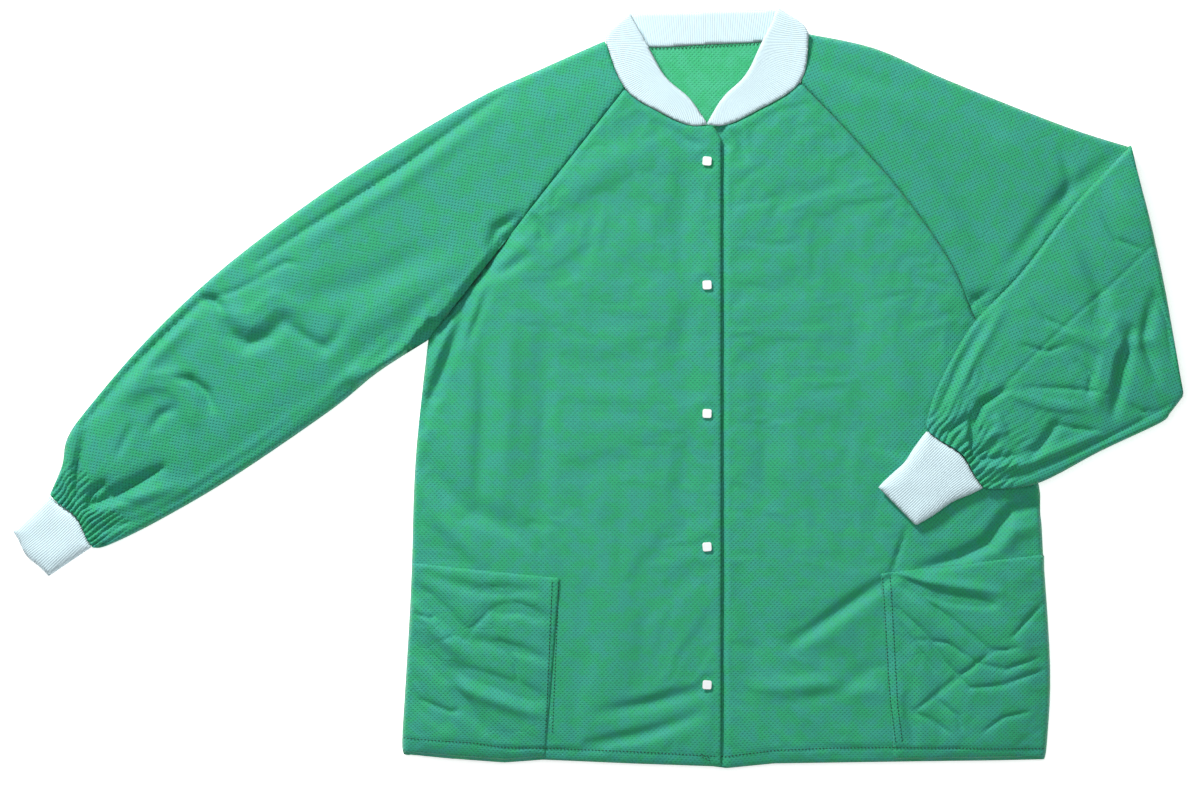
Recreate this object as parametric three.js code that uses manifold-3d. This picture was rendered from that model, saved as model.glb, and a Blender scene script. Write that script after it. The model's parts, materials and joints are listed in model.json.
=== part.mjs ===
// A snap-front warm-up jacket with raglan sleeves, a knit neck band and knit cuffs, lying flat on its
// back. The right sleeve lies straight out. The left sleeve is folded over at the elbow, so its cuff
// lies on the body. Right and left are the wearer's.
//
// Millimetres. X runs towards the wearer's left, Y from the hem to the neck, Z up from the surface
// that the jacket lies on. X = 0 is the centre front and Y = 0 the hem, until the whole jacket is
// moved so that the middle of its base is the origin.

import * as THREE from 'three';
import { mergeVertices } from 'three/addons/utils/BufferGeometryUtils.js';
import Module from 'manifold-3d';

const wasm = await Module();
wasm.setup();

// ---- Driving dimensions ----

const clothThickness = 1;
const knitThickness = 2;
const bodyLoft = 12; // clear height inside the body and the sleeves
const seamGap = 0.3; // clearance between two pieces that meet at a seam or lie on each other

const bodyLength = 764; // hem to the middle of the back neck seam
const armholeDepth = 314; // back neck seam down to the underarm
const neckHalfWidth = 108; // centre to the point where the shoulder meets the neck band
const frontNeckDrop = 86; // back neck seam down to the meeting of the neck band's ends
const frontNeckBend = { reach: 48, rise: 12 }; // the front neck seam passes here, from the meeting
const frontNeckFlat = { reach: 18, rise: -1 };
const backNeckBend = { reach: 62, tilt: 3 }; // the back neck seam passes here, a little lower at right
const placketLap = 30; // how far the right front lies over the left one
const lapCornerDrop = 2; // how far the placket's rounded top corner lies below its end
const lapClearance = 6; // from the upper front's edge to where the lower front starts to rise
const flapHingeX = 66; // where each front folds open, from the centre

// The two halves differ, because the right side of the body is drawn in a little as it lies. A bow
// is [share of the way along an edge, distance off the straight line, to the left of the walk].
const right = {
  sign: -1,
  underarmReach: 296,
  hemReach: 322,
  sideBows: [[0.2, -5], [0.35, -6], [0.6, -3], [0.94, -3]],
  shoulderRise: 4,
  raglanTopReach: 87,
  raglanTopDrop: 48,
  raglanBows: [],
  bandTopReach: 82,
  bandTopRise: 33,
  pocketInnerReach: 156,
  pocketInnerTop: 197,
  pocketSideTop: 213,
  pocketFootShift: 16,
};
const left = {
  sign: 1,
  underarmReach: 306,
  hemReach: 359,
  sideBows: [[0.33, 28], [0.5, 25], [0.78, 18], [0.96, 5]],
  shoulderRise: 11,
  raglanTopReach: 99,
  raglanTopDrop: 41,
  raglanBows: [[0.26, 10], [0.5, 15], [0.74, 11], [0.9, -3]],
  bandTopReach: 75,
  bandTopRise: 38,
  pocketInnerReach: 184,
  pocketInnerTop: 202,
  pocketSideTop: 222,
  pocketFootShift: 14,
};

const rightSleeveLength = 764; // along its top edge, shoulder point to wrist
const rightSleeveDroop = 39.3; // degrees below level
const rightSleeveTopBows = [
  [0.1, -21], [0.2, -40], [0.4, -62], [0.6, -70], [0.75, -63], [0.88, -46], [0.93, -35], [0.96, -16],
];
const rightSleeveUnderBows = [[0.15, 1], [0.3, 9], [0.6, 15], [0.82, 13], [0.965, 7]];
const rightWristWidth = 71;
const rightFoldShare = 0.64; // how far along the top edge's straight line the fold crosses it
const rightFoldLean = 36.9; // degrees that the fold leans from straight down, towards the body
const rightCuffLength = 54;
const rightCuffEndWidth = 61;

const leftUpperLength = 361; // along its top edge, shoulder point to the elbow fold
const leftUpperDroop = 19.4;
const leftUpperTopBows = [[0.2, 9], [0.43, 3], [0.8, -2]];
const leftUpperUnderBows = [[0.3, -12], [0.7, -10]];
const leftFoldLength = 270;
const leftFoldLean = 11.9; // degrees that the elbow fold leans outwards from straight down
const leftForearmLength = 371;
const leftForearmAngle = 234.4; // heading of the folded forearm, degrees from +X
const leftForearmTopBows = [
  [0.22, -12], [0.48, -16], [0.665, -26], [0.8, -22.5], [0.9, -16], [0.98, -6],
];
const leftForearmUnderBows = [[0.09, 11], [0.15, 16], [0.45, 16.5], [0.75, 20], [0.93, 9]];
const leftWristWidth = 85;
const leftWristAngle = -45.5;
const leftCuffLength = 79;
const leftCuffAngle = 219.3;
const leftCuffEndWidth = 56;
const cuffHeight = 12;

const bandEndBend = { share: 0.3, out: 4, up: 2 }; // how the neck band's shoulder end stands out
const bandFreeBows = [[0.28, 4.5], [0.55, 8], [0.78, 0]]; // of the band's free edge

const pocketHeight = 6; // how far a pocket stands off the front panel, wall included
const pocketHemRise = 3; // the pocket's foot above the body's hem

const snapCount = 5;
const firstSnapDrop = 39; // below the meeting of the neck band's ends
const lastSnapRise = 84; // above the hem
const snapPitchGrowth = 5; // each space is this much longer than the one above it
const snapTurns = [-4, 3, -2, 5, -3]; // degrees, as the caps were pressed on
const capWidth = 9.5;
const capHeight = 1.6;
const capBevel = 0.4;
const capCorner = 2;
const prongRadius = 0.9;
const prongHoleRadius = 1.2;
const socketRadius = 4.6;
const socketHeight = 2.4;
const socketBoreRadius = 2.3;
const socketBoreDepth = 1.7;
const studRadius = 4.2;
const studFlange = 0.7;
const studKnobRadius = 1.9;
const studNeckRadius = 1.6;
const postRadius = 4.6;
const postHeight = 1.2;

// ---- Levels that follow ----

const frontLow = clothThickness + bodyLoft;
const frontTop = frontLow + clothThickness;
const bandLow = frontTop + seamGap * 2 - knitThickness;
const bandTop = bandLow + knitThickness;
const flapHingeZ = bandTop + seamGap;
const sleeveFoldZ = frontTop + seamGap;
const foldedLow = sleeveFoldZ + seamGap;
const socketTop = frontLow - seamGap;
const socketLow = socketTop - socketHeight;
const socketBoreTop = socketLow + socketBoreDepth;
const studFlangeTop = socketLow - seamGap;
const studLow = studFlangeTop - studFlange;
const studTop = socketBoreTop - seamGap;
const lapTop = studLow - seamGap;
const lapLow = lapTop - clothThickness;
const postTop = lapLow - seamGap;
const postLow = postTop - postHeight;

// ---- Lines and solids ----

const POINTS_PER_SPAN = 5;
const REACH = 4000; // larger than the jacket, for cutting blocks
const END_RUN = 15; // how far a hollow runs past the far end of its tube

const at = (x, y) => new THREE.Vector2(x, y);

function heading(degrees) {
  const angle = THREE.MathUtils.degToRad(degrees);
  return at(Math.cos(angle), Math.sin(angle));
}

const along = (start, direction, distance) => start.clone().addScaledVector(direction, distance);

const leftOf = (direction) => at(-direction.y, direction.x);

function smooth(points) {
  return new THREE.SplineCurve(points).getPoints(POINTS_PER_SPAN * (points.length - 1));
}

// A smooth edge from start to end that stands off the straight line by its bows.
function bowedEdge(start, end, bows) {
  if (bows.length === 0) return [start, end];
  const straight = end.clone().sub(start);
  const side = leftOf(straight.clone().normalize());
  const middle = bows.map(([share, bow]) => along(along(start, straight, share), side, bow));
  return smooth([start, ...middle, end]);
}

// The edge moved sideways, to the left of the walk.
function offsetEdge(edge, distance) {
  return edge.map((corner, i) => {
    const before = edge[Math.max(i - 1, 0)];
    const after = edge[Math.min(i + 1, edge.length - 1)];
    return along(corner, leftOf(after.clone().sub(before).normalize()), distance);
  });
}

// The edge with a straight run added at each end.
function runOut(edge, startRun, endRun) {
  const first = edge[0].clone().sub(edge[1]).normalize();
  const last = edge[edge.length - 1].clone().sub(edge[edge.length - 2]).normalize();
  return [along(edge[0], first, startRun), ...edge, along(edge[edge.length - 1], last, endRun)];
}

const backwards = (edge) => [...edge].reverse();

const farthest = (edge) => edge[edge.length - 1];

function toSolid(geometry) {
  geometry.deleteAttribute('normal');
  geometry.deleteAttribute('uv');
  const merged = mergeVertices(geometry);
  return new wasm.Manifold(new wasm.Mesh({
    numProp: 3,
    vertProperties: new Float32Array(merged.attributes.position.array),
    triVerts: new Uint32Array(merged.index.array),
  }));
}

function toGeometry(solid) {
  const { vertProperties, triVerts } = solid.getMesh();
  const geometry = new THREE.BufferGeometry();
  geometry.setAttribute('position', new THREE.BufferAttribute(vertProperties, 3));
  geometry.setIndex(new THREE.BufferAttribute(triVerts, 1));
  geometry.computeVertexNormals();
  return geometry;
}

function prism(outline, low, high) {
  const geometry = new THREE.ExtrudeGeometry(new THREE.Shape(outline), {
    depth: high - low,
    bevelEnabled: false,
  });
  return toSolid(geometry.translate(0, 0, low));
}

// Everything to the left of the line through origin.
function leftSide(origin, direction) {
  const far = along(origin, leftOf(direction), REACH / 2);
  const block = new THREE.BoxGeometry(REACH, REACH, REACH);
  block.rotateZ(direction.angle());
  return toSolid(block.translate(far.x, far.y, 0));
}

// What lies to the left of the line, clear of it by a seam's gap.
function partLeftOf(solid, origin, direction) {
  return solid.intersect(leftSide(along(origin, leftOf(direction), seamGap), direction));
}

// The region between two edges that are walked the same way, with walls of this thickness left
// outside it. It runs out past both ends. The first edge is on the walk's left.
function hollowBetween(leftEdge, rightEdge, wall, startRun, endRun) {
  const one = runOut(offsetEdge(leftEdge, -wall), startRun, endRun);
  const other = runOut(offsetEdge(rightEdge, wall), startRun, endRun);
  return [...one, ...backwards(other)];
}

const meshes = [];

function addMesh(name, solid, makeMaterial) {
  const mesh = new THREE.Mesh(toGeometry(solid), makeMaterial());
  mesh.name = name;
  meshes.push(mesh);
}

const greenCloth = () => new THREE.MeshStandardMaterial({
  color: 0x3aa27c, roughness: 0.85, metalness: 0,
});
const whiteKnit = () => new THREE.MeshStandardMaterial({
  color: 0xe6eef2, roughness: 0.95, metalness: 0,
});
const whitePlastic = () => new THREE.MeshStandardMaterial({
  color: 0xf2f4f4, roughness: 0.4, metalness: 0,
});

// ---- Points where the pieces meet ----

const hemY = 0;
const underarmY = bodyLength - armholeDepth;
const neckMeeting = at(0, bodyLength - frontNeckDrop);

for (const side of [right, left]) {
  side.shoulder = at(side.sign * neckHalfWidth, bodyLength + side.shoulderRise);
  side.raglanTop = at(side.sign * side.raglanTopReach, bodyLength - side.raglanTopDrop);
  side.underarm = at(side.sign * side.underarmReach, underarmY);
  side.hemCorner = at(side.sign * side.hemReach, hemY);
  side.sideEdge = bowedEdge(side.underarm, side.hemCorner, side.sideBows);
  side.raglan = bowedEdge(side.raglanTop, side.underarm, side.raglanBows);
  // The neck band's seam, from the shoulder round to the meeting of the band's ends.
  const inward = -side.sign;
  side.neckSeam = smooth([
    side.shoulder,
    side.raglanTop,
    neckMeeting.clone().add(at(-inward * frontNeckBend.reach, frontNeckBend.rise)),
    neckMeeting.clone().add(at(-inward * frontNeckFlat.reach, frontNeckFlat.rise)),
    neckMeeting.clone().add(at(-inward * seamGap, 0)),
  ]);
  side.neckSeamBelowRaglan = side.neckSeam.slice(POINTS_PER_SPAN);
  side.neckSeamAboveRaglan = side.neckSeam.slice(0, POINTS_PER_SPAN + 1);
  side.bandTop = at(side.sign * side.bandTopReach, bodyLength + side.bandTopRise);
}

// The back neck seam, from the right shoulder to the left one.
const backNeckSeam = smooth([
  right.shoulder,
  at(-backNeckBend.reach, bodyLength - backNeckBend.tilt),
  at(0, bodyLength),
  at(backNeckBend.reach, bodyLength + backNeckBend.tilt),
  left.shoulder,
]);

// ---- Back panel ----

const backOutline = [
  ...right.sideEdge.slice(1),
  ...backwards(left.sideEdge).slice(0, -1),
  ...backwards(left.raglan),
  ...backwards(left.neckSeamAboveRaglan).slice(1),
  ...backwards(backNeckSeam).slice(1),
  ...right.neckSeamAboveRaglan.slice(1),
  ...right.raglan.slice(1),
];
addMesh('back_panel', prism(backOutline, 0, clothThickness), greenCloth);

// ---- Fronts: a side panel sewn to the back, and a flap that opens ----

// A front's outline reaches past the centre by half the placket's lap.
function frontOutline(side) {
  const lapX = -side.sign * placketLap / 2;
  const seam = offsetEdge(side.neckSeamBelowRaglan, side.sign * seamGap);
  const lapTopY = neckMeeting.y - seamGap * 2;
  return [
    ...side.sideEdge,
    at(lapX, hemY),
    at(lapX, lapTopY - placketLap / 2),
    at(lapX / 2, lapTopY - lapCornerDrop),
    ...backwards(seam),
    ...side.raglan.slice(1, -1),
  ];
}

const flapCut = (side) => at(side.sign * flapHingeX, 0);
const up = at(0, 1);
const down = at(0, -1);

function frontSidePanel(side) {
  const sideUp = backwards(side.sideEdge);
  const centreUp = [at(0, hemY), at(0, underarmY)];
  const edges = side.sign < 0 ? [sideUp, centreUp] : [centreUp, sideUp];
  const skirt = hollowBetween(...edges, clothThickness, END_RUN, armholeDepth);
  const whole = prism(frontOutline(side), clothThickness + seamGap, frontTop)
    .subtract(prism(skirt, 0, frontLow));
  return partLeftOf(whole, flapCut(side), side.sign < 0 ? up : down);
}

const upperFlap = partLeftOf(prism(frontOutline(right), frontLow, frontTop), flapCut(right), down);

// The left front dips under the right one, so that the snaps fit between them.
const dipEndX = placketLap / 2 + lapClearance;
const dipOutline = [
  at(left.hemReach, frontTop),
  at(flapHingeX, frontTop),
  at(dipEndX, lapTop),
  at(-placketLap, lapTop),
  at(-placketLap, lapLow),
  at(dipEndX, lapLow),
  at(flapHingeX, frontLow),
  at(left.hemReach, frontLow),
];
const dipGeometry = new THREE.ExtrudeGeometry(new THREE.Shape(dipOutline), {
  depth: REACH,
  bevelEnabled: false,
});
const dip = toSolid(dipGeometry.rotateX(Math.PI / 2).translate(0, REACH / 2, 0));
const lowerFlap = partLeftOf(prism(frontOutline(left), 0, frontTop), flapCut(left), up)
  .intersect(dip);

const snapHeights = [];
const growthSteps = (snapCount - 1) * (snapCount - 2) / 2;
const snapRun = neckMeeting.y - firstSnapDrop - lastSnapRise;
const firstPitch = (snapRun - snapPitchGrowth * growthSteps) / (snapCount - 1);
for (let i = 0; i < snapCount; i += 1) {
  const grown = snapPitchGrowth * i * (i - 1) / 2;
  snapHeights.push(neckMeeting.y - firstSnapDrop - firstPitch * i - grown);
}

// A turned solid about its own upright axis, from a profile of [radius, height] pairs.
const ROUND_SEGMENTS = 16;
function turned(profile, y) {
  const points = profile.map(([radius, height]) => at(radius, height));
  const geometry = new THREE.LatheGeometry(points, ROUND_SEGMENTS).rotateX(Math.PI / 2);
  return toSolid(geometry.translate(0, y, 0));
}

function rod(radius, low, high, y) {
  return turned([[0, low], [radius, low], [radius, high], [0, high]], y);
}

function withProngHoles(flap) {
  return snapHeights.reduce((cut, y) => cut.subtract(rod(prongHoleRadius, 0, bandTop, y)), flap);
}

addMesh('right_front_side', frontSidePanel(right), greenCloth);
addMesh('left_front_side', frontSidePanel(left), greenCloth);
addMesh('right_front_flap', withProngHoles(upperFlap), greenCloth);
addMesh('left_front_flap', withProngHoles(lowerFlap), greenCloth);

// ---- Snaps ----

function snapCap(y, turn) {
  const inner = capWidth / 2 - capBevel;
  const shape = new THREE.Shape();
  shape.moveTo(-inner + capCorner, -inner);
  shape.lineTo(inner - capCorner, -inner);
  shape.quadraticCurveTo(inner, -inner, inner, -inner + capCorner);
  shape.lineTo(inner, inner - capCorner);
  shape.quadraticCurveTo(inner, inner, inner - capCorner, inner);
  shape.lineTo(-inner + capCorner, inner);
  shape.quadraticCurveTo(-inner, inner, -inner, inner - capCorner);
  shape.lineTo(-inner, -inner + capCorner);
  shape.quadraticCurveTo(-inner, -inner, -inner + capCorner, -inner);
  const plate = new THREE.ExtrudeGeometry(shape, {
    depth: capHeight - capBevel * 2,
    bevelThickness: capBevel,
    bevelSize: capBevel,
    bevelSegments: 2,
    curveSegments: 4,
  });
  plate.rotateZ(THREE.MathUtils.degToRad(turn));
  plate.translate(0, y, frontTop + seamGap + capBevel);
  const prong = rod(prongRadius, socketBoreTop + seamGap, frontTop + capHeight / 2, y);
  return toSolid(plate).add(prong);
}

function snapSocket(y) {
  return turned([
    [prongHoleRadius, socketTop],
    [prongHoleRadius, socketBoreTop],
    [socketBoreRadius, socketBoreTop],
    [socketBoreRadius, socketLow],
    [socketRadius, socketLow],
    [socketRadius, socketTop],
    [prongHoleRadius, socketTop],
  ], y);
}

const studBoreTop = studTop - studFlange;

function snapStud(y) {
  return turned([
    [0, studBoreTop],
    [prongHoleRadius, studBoreTop],
    [prongHoleRadius, studLow],
    [studRadius, studLow],
    [studRadius, studFlangeTop],
    [studNeckRadius, studFlangeTop],
    [studKnobRadius, studTop - studFlange],
    [studNeckRadius, studTop],
    [0, studTop],
  ], y);
}

function snapPost(y) {
  return turned([
    [0, postLow],
    [postRadius, postLow],
    [postRadius, postTop],
    [prongRadius, postTop],
    [prongRadius, studBoreTop - seamGap],
    [0, studBoreTop - seamGap],
  ], y);
}

snapHeights.forEach((y, i) => {
  addMesh(`snap_cap_${i + 1}`, snapCap(y, snapTurns[i]), whitePlastic);
  addMesh(`snap_socket_${i + 1}`, snapSocket(y), whitePlastic);
  addMesh(`snap_stud_${i + 1}`, snapStud(y), whitePlastic);
  addMesh(`snap_post_${i + 1}`, snapPost(y), whitePlastic);
});

// ---- Neck band ----

// The slanted end of the band at a shoulder, from the shoulder point up to the band's top corner.
function bandEnd(side) {
  const corner = side.shoulder.clone().lerp(side.bandTop, bandEndBend.share)
    .add(at(side.sign * bandEndBend.out, bandEndBend.up));
  return [side.shoulder, corner, side.bandTop];
}

function frontBand(side) {
  const tip = neckMeeting.clone().add(at(side.sign * seamGap, knitThickness));
  const bows = bandFreeBows.map(([share, bow]) => [share, side.sign * bow]);
  const freeEdge = bowedEdge(side.bandTop, tip, bows);
  const outline = [
    ...freeEdge,
    ...backwards(side.neckSeam),
    ...bandEnd(side).slice(1, -1),
  ];
  return prism(outline, bandLow, bandTop);
}

for (const side of [right, left]) {
  const name = side === right ? 'right' : 'left';
  const band = frontBand(side);
  const outwards = side.sign < 0 ? up : down;
  const inwards = side.sign < 0 ? down : up;
  addMesh(`collar_${name}_side`, partLeftOf(band, flapCut(side), outwards), whiteKnit);
  addMesh(`collar_${name}_front`, partLeftOf(band, flapCut(side), inwards), whiteKnit);
}

// The back of the band lies on the surface. Its ends stand up to carry the front bands.
const backBandOutline = [
  ...offsetEdge(backNeckSeam, seamGap),
  ...bandEnd(left).slice(1),
  ...backwards(bandEnd(right).slice(1)),
];
const backBandHollow = hollowBetween(
  bandEnd(right),
  bandEnd(left),
  knitThickness,
  END_RUN,
  END_RUN,
);
const backBand = prism(backBandOutline, 0, bandLow - seamGap)
  .subtract(prism(backBandHollow, knitThickness, bandTop));
addMesh('collar_back', backBand, whiteKnit);

// ---- Sleeves and cuffs ----

// A tube between an upper and an under edge, both walked away from the body. Its ends are open.
function tube(upperEdge, underEdge, bodyEnd, low, height, wall) {
  const outline = [...upperEdge, ...backwards(underEdge), ...bodyEnd];
  const walksLeft = farthest(upperEdge).x < upperEdge[0].x;
  const edges = walksLeft ? [underEdge, upperEdge] : [upperEdge, underEdge];
  const startRun = bodyEnd.length > 0 ? neckHalfWidth : END_RUN;
  const hollow = hollowBetween(...edges, wall, startRun, END_RUN);
  return prism(outline, low, low + height).subtract(prism(hollow, low + wall, low + height - wall));
}

const tubeHeight = frontTop;

// The end of a sleeve that meets the body: the raglan seam, then the neck band's seam.
function sleeveBodyEnd(side) {
  const seam = [...side.neckSeamAboveRaglan, ...side.raglan.slice(1)];
  return backwards(offsetEdge(seam, side.sign * seamGap)).slice(1, -1);
}

// Right sleeve: one straight tube, cut where it folds.
const rightHeading = heading(180 + rightSleeveDroop);
const rightAcross = leftOf(rightHeading);
const rightWristTop = along(right.shoulder, rightHeading, rightSleeveLength);
const rightWristUnder = along(rightWristTop, rightAcross, rightWristWidth);
const rightShoulderClear = along(right.shoulder, rightHeading, seamGap * 2);
const rightUnderarmClear = along(right.underarm, rightHeading, seamGap * 2);
const rightUpperEdge = bowedEdge(rightShoulderClear, rightWristTop, rightSleeveTopBows);
const rightUnderEdge = bowedEdge(rightUnderarmClear, rightWristUnder, rightSleeveUnderBows);
const rightSleeve = tube(
  rightUpperEdge,
  rightUnderEdge,
  sleeveBodyEnd(right),
  0,
  tubeHeight,
  clothThickness,
);
const rightFoldPoint = along(right.shoulder, rightHeading, rightSleeveLength * rightFoldShare);
const rightFoldDown = heading(-90 + rightFoldLean);
const rightFoldUp = rightFoldDown.clone().negate();
addMesh('right_sleeve_upper', partLeftOf(rightSleeve, rightFoldPoint, rightFoldDown), greenCloth);
addMesh('right_sleeve_lower', partLeftOf(rightSleeve, rightFoldPoint, rightFoldUp), greenCloth);

// A cuff from the wrist seam to its narrower end.
function cuff(wristTop, wristUnder, direction, length, endWidth, low) {
  const across = wristUnder.clone().sub(wristTop).normalize();
  const width = wristUnder.distanceTo(wristTop);
  const inset = (width - endWidth) / 2;
  const startTop = along(wristTop, direction, seamGap);
  const startUnder = along(wristUnder, direction, seamGap);
  const endTop = along(along(startTop, direction, length), across, inset);
  const endUnder = along(along(startUnder, direction, length), across, -inset);
  return tube([startTop, endTop], [startUnder, endUnder], [], low, cuffHeight, knitThickness);
}

addMesh('right_cuff', cuff(
  rightWristTop,
  rightWristUnder,
  rightHeading,
  rightCuffLength,
  rightCuffEndWidth,
  0,
), whiteKnit);

// Left sleeve: the upper part on the surface, the forearm folded back above it.
const leftElbowTop = along(left.shoulder, heading(-leftUpperDroop), leftUpperLength);
const leftFoldDown = heading(-90 + leftFoldLean);
const leftFoldUp = leftFoldDown.clone().negate();
const leftElbowUnder = along(leftElbowTop, leftFoldDown, leftFoldLength);
const leftShoulderClear = left.shoulder.clone().add(at(seamGap * 2, 0));
const leftUnderarmClear = left.underarm.clone().add(at(seamGap * 2, 0));
const leftUpperEdge = bowedEdge(leftShoulderClear, leftElbowTop, leftUpperTopBows);
const leftUnderEdge = bowedEdge(leftUnderarmClear, leftElbowUnder, leftUpperUnderBows);
const leftUpper = tube(
  leftUpperEdge,
  leftUnderEdge,
  sleeveBodyEnd(left),
  0,
  tubeHeight,
  clothThickness,
);
addMesh('left_sleeve_upper', partLeftOf(leftUpper, leftElbowTop, leftFoldUp), greenCloth);

const leftWristTop = along(leftElbowTop, heading(leftForearmAngle), leftForearmLength);
const leftWristUnder = along(leftWristTop, heading(leftWristAngle), leftWristWidth);
const leftForearm = tube(
  bowedEdge(leftElbowTop, leftWristTop, leftForearmTopBows),
  bowedEdge(leftElbowUnder, leftWristUnder, leftForearmUnderBows),
  [],
  foldedLow,
  tubeHeight,
  clothThickness,
);
addMesh('left_sleeve_lower', partLeftOf(leftForearm, leftElbowTop, leftFoldUp), greenCloth);
addMesh('left_cuff', cuff(
  leftWristTop,
  leftWristUnder,
  heading(leftCuffAngle),
  leftCuffLength,
  leftCuffEndWidth,
  foldedLow,
), whiteKnit);

// ---- Pockets ----

// A pocket is open at its top and lies on the front panel, which closes its back.
function pocket(side) {
  const topShare = 1 - side.pocketSideTop / underarmY;
  const footShare = 1 - pocketHemRise / underarmY;
  const sideY = (share) => hemY + underarmY * (1 - share);
  const edge = offsetEdge(side.sideEdge, side.sign * -seamGap)
    .filter((corner) => corner.y < sideY(topShare) && corner.y > sideY(footShare));
  const innerTop = at(side.sign * side.pocketInnerReach, side.pocketInnerTop);
  const innerFoot = at(
    side.sign * (side.pocketInnerReach + side.pocketFootShift),
    hemY + pocketHemRise,
  );
  const outerFoot = at(farthest(edge).x, hemY + pocketHemRise);
  const outerTop = at(edge[0].x, side.pocketSideTop);
  const outer = [outerTop, ...edge, outerFoot];
  const outline = [...outer, innerFoot, innerTop];
  const hollow = [
    at(outerTop.x - side.sign * clothThickness, REACH),
    ...offsetEdge(outer, side.sign * -clothThickness),
  ].map((corner) => at(corner.x, Math.max(corner.y, hemY + pocketHemRise + clothThickness)));
  const innerClear = side.sign * clothThickness;
  hollow.push(at(innerFoot.x + innerClear, hemY + pocketHemRise + clothThickness));
  hollow.push(at(innerTop.x + innerClear, innerTop.y));
  hollow.push(at(innerTop.x + innerClear, REACH));
  const low = frontTop + seamGap;
  return prism(outline, low, low + pocketHeight)
    .subtract(prism(hollow, low - clothThickness, low + pocketHeight - clothThickness));
}

addMesh('right_pocket', pocket(right), greenCloth);
addMesh('left_pocket', pocket(left), greenCloth);

// ---- The whole jacket, moved so that the middle of its base is the origin ----

const jacket = new THREE.Group();
jacket.name = 'warm_up_jacket';
jacket.add(...meshes);
const extent = new THREE.Box3().setFromObject(jacket);
const middle = extent.getCenter(new THREE.Vector3());
jacket.position.set(-middle.x, -middle.y, -extent.min.z);

// Each fold as a point on its line and the line's direction, in the moved frame.
function foldLine(origin, direction, height) {
  return {
    point: [origin.x - middle.x, origin.y - middle.y, height - extent.min.z],
    direction: [direction.x, direction.y, 0],
  };
}

jacket.userData.foldLines = {
  right_front_open: foldLine(flapCut(right), down, flapHingeZ),
  left_front_open: foldLine(flapCut(left), up, flapHingeZ),
  right_forearm_fold: foldLine(rightFoldPoint, rightFoldUp, sleeveFoldZ),
  left_forearm_unfold: foldLine(leftElbowTop, leftFoldUp, sleeveFoldZ),
};

export default jacket;
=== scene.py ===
"""The look of a snap-front warm-up jacket that lies flat on its back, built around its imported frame.

Plan coordinates are millimetres: X from the centre front towards the wearer's left, Y up from the hem
and Z up from the floor. They are read from the frame's nodes and turned into metres as meshes are made.
"""

import json
import math

import bmesh
import bpy
import numpy as np
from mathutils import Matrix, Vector, noise
from mathutils.bvhtree import BVHTree
from mathutils.geometry import delaunay_2d_cdt

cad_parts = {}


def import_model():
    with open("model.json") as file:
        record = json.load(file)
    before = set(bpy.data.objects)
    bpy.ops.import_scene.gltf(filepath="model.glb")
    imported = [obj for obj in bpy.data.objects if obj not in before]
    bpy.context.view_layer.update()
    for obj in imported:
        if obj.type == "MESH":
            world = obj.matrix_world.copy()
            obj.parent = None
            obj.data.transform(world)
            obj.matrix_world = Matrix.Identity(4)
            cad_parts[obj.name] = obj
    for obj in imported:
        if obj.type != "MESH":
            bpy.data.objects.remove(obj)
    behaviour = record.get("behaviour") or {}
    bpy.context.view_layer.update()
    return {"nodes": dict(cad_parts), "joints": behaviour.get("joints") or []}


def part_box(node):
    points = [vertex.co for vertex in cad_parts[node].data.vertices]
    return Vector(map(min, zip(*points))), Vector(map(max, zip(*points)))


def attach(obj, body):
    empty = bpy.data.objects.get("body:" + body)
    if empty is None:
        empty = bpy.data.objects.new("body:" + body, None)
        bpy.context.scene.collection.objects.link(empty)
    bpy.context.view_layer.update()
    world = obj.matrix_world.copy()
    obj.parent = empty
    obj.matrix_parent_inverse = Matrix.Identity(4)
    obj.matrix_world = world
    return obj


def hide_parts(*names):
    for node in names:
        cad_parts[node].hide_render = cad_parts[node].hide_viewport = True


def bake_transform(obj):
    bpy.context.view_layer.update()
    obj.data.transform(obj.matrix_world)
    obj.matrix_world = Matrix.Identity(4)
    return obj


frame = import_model()

MM = 0.001
CENTRE_X = (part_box("snap_cap_1")[0].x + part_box("snap_cap_1")[1].x) / 2
HEM_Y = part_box("back_panel")[0].y

# ---- Levels, in millimetres above the floor: each cloth lies just inside the solid that it shows ----

FRONT_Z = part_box("right_front_flap")[1].z / MM - 0.2
BACK_Z = 0.6
EDGE_Z = 3.0
LAP_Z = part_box("left_front_flap")[0].z / MM + 0.8
FOREARM_HIGH_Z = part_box("left_sleeve_lower")[1].z / MM - 1.0
CLOTH = 0.4

# ---- Reading the frame ----


def coordinates(mesh):
    """The mesh's vertices, in metres."""
    co = np.empty(len(mesh.vertices) * 3)
    mesh.vertices.foreach_get("co", co)
    return co.reshape(-1, 3)


def plan_of(node):
    """The node's vertices and edges in plan coordinates."""
    mesh = frame["nodes"][node].data
    co = coordinates(mesh) / MM
    co[:, 0] -= CENTRE_X / MM
    co[:, 1] -= HEM_Y / MM
    edges = np.empty(len(mesh.edges) * 2, int)
    mesh.edges.foreach_get("vertices", edges)
    return co, edges.reshape(-1, 2)


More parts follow.
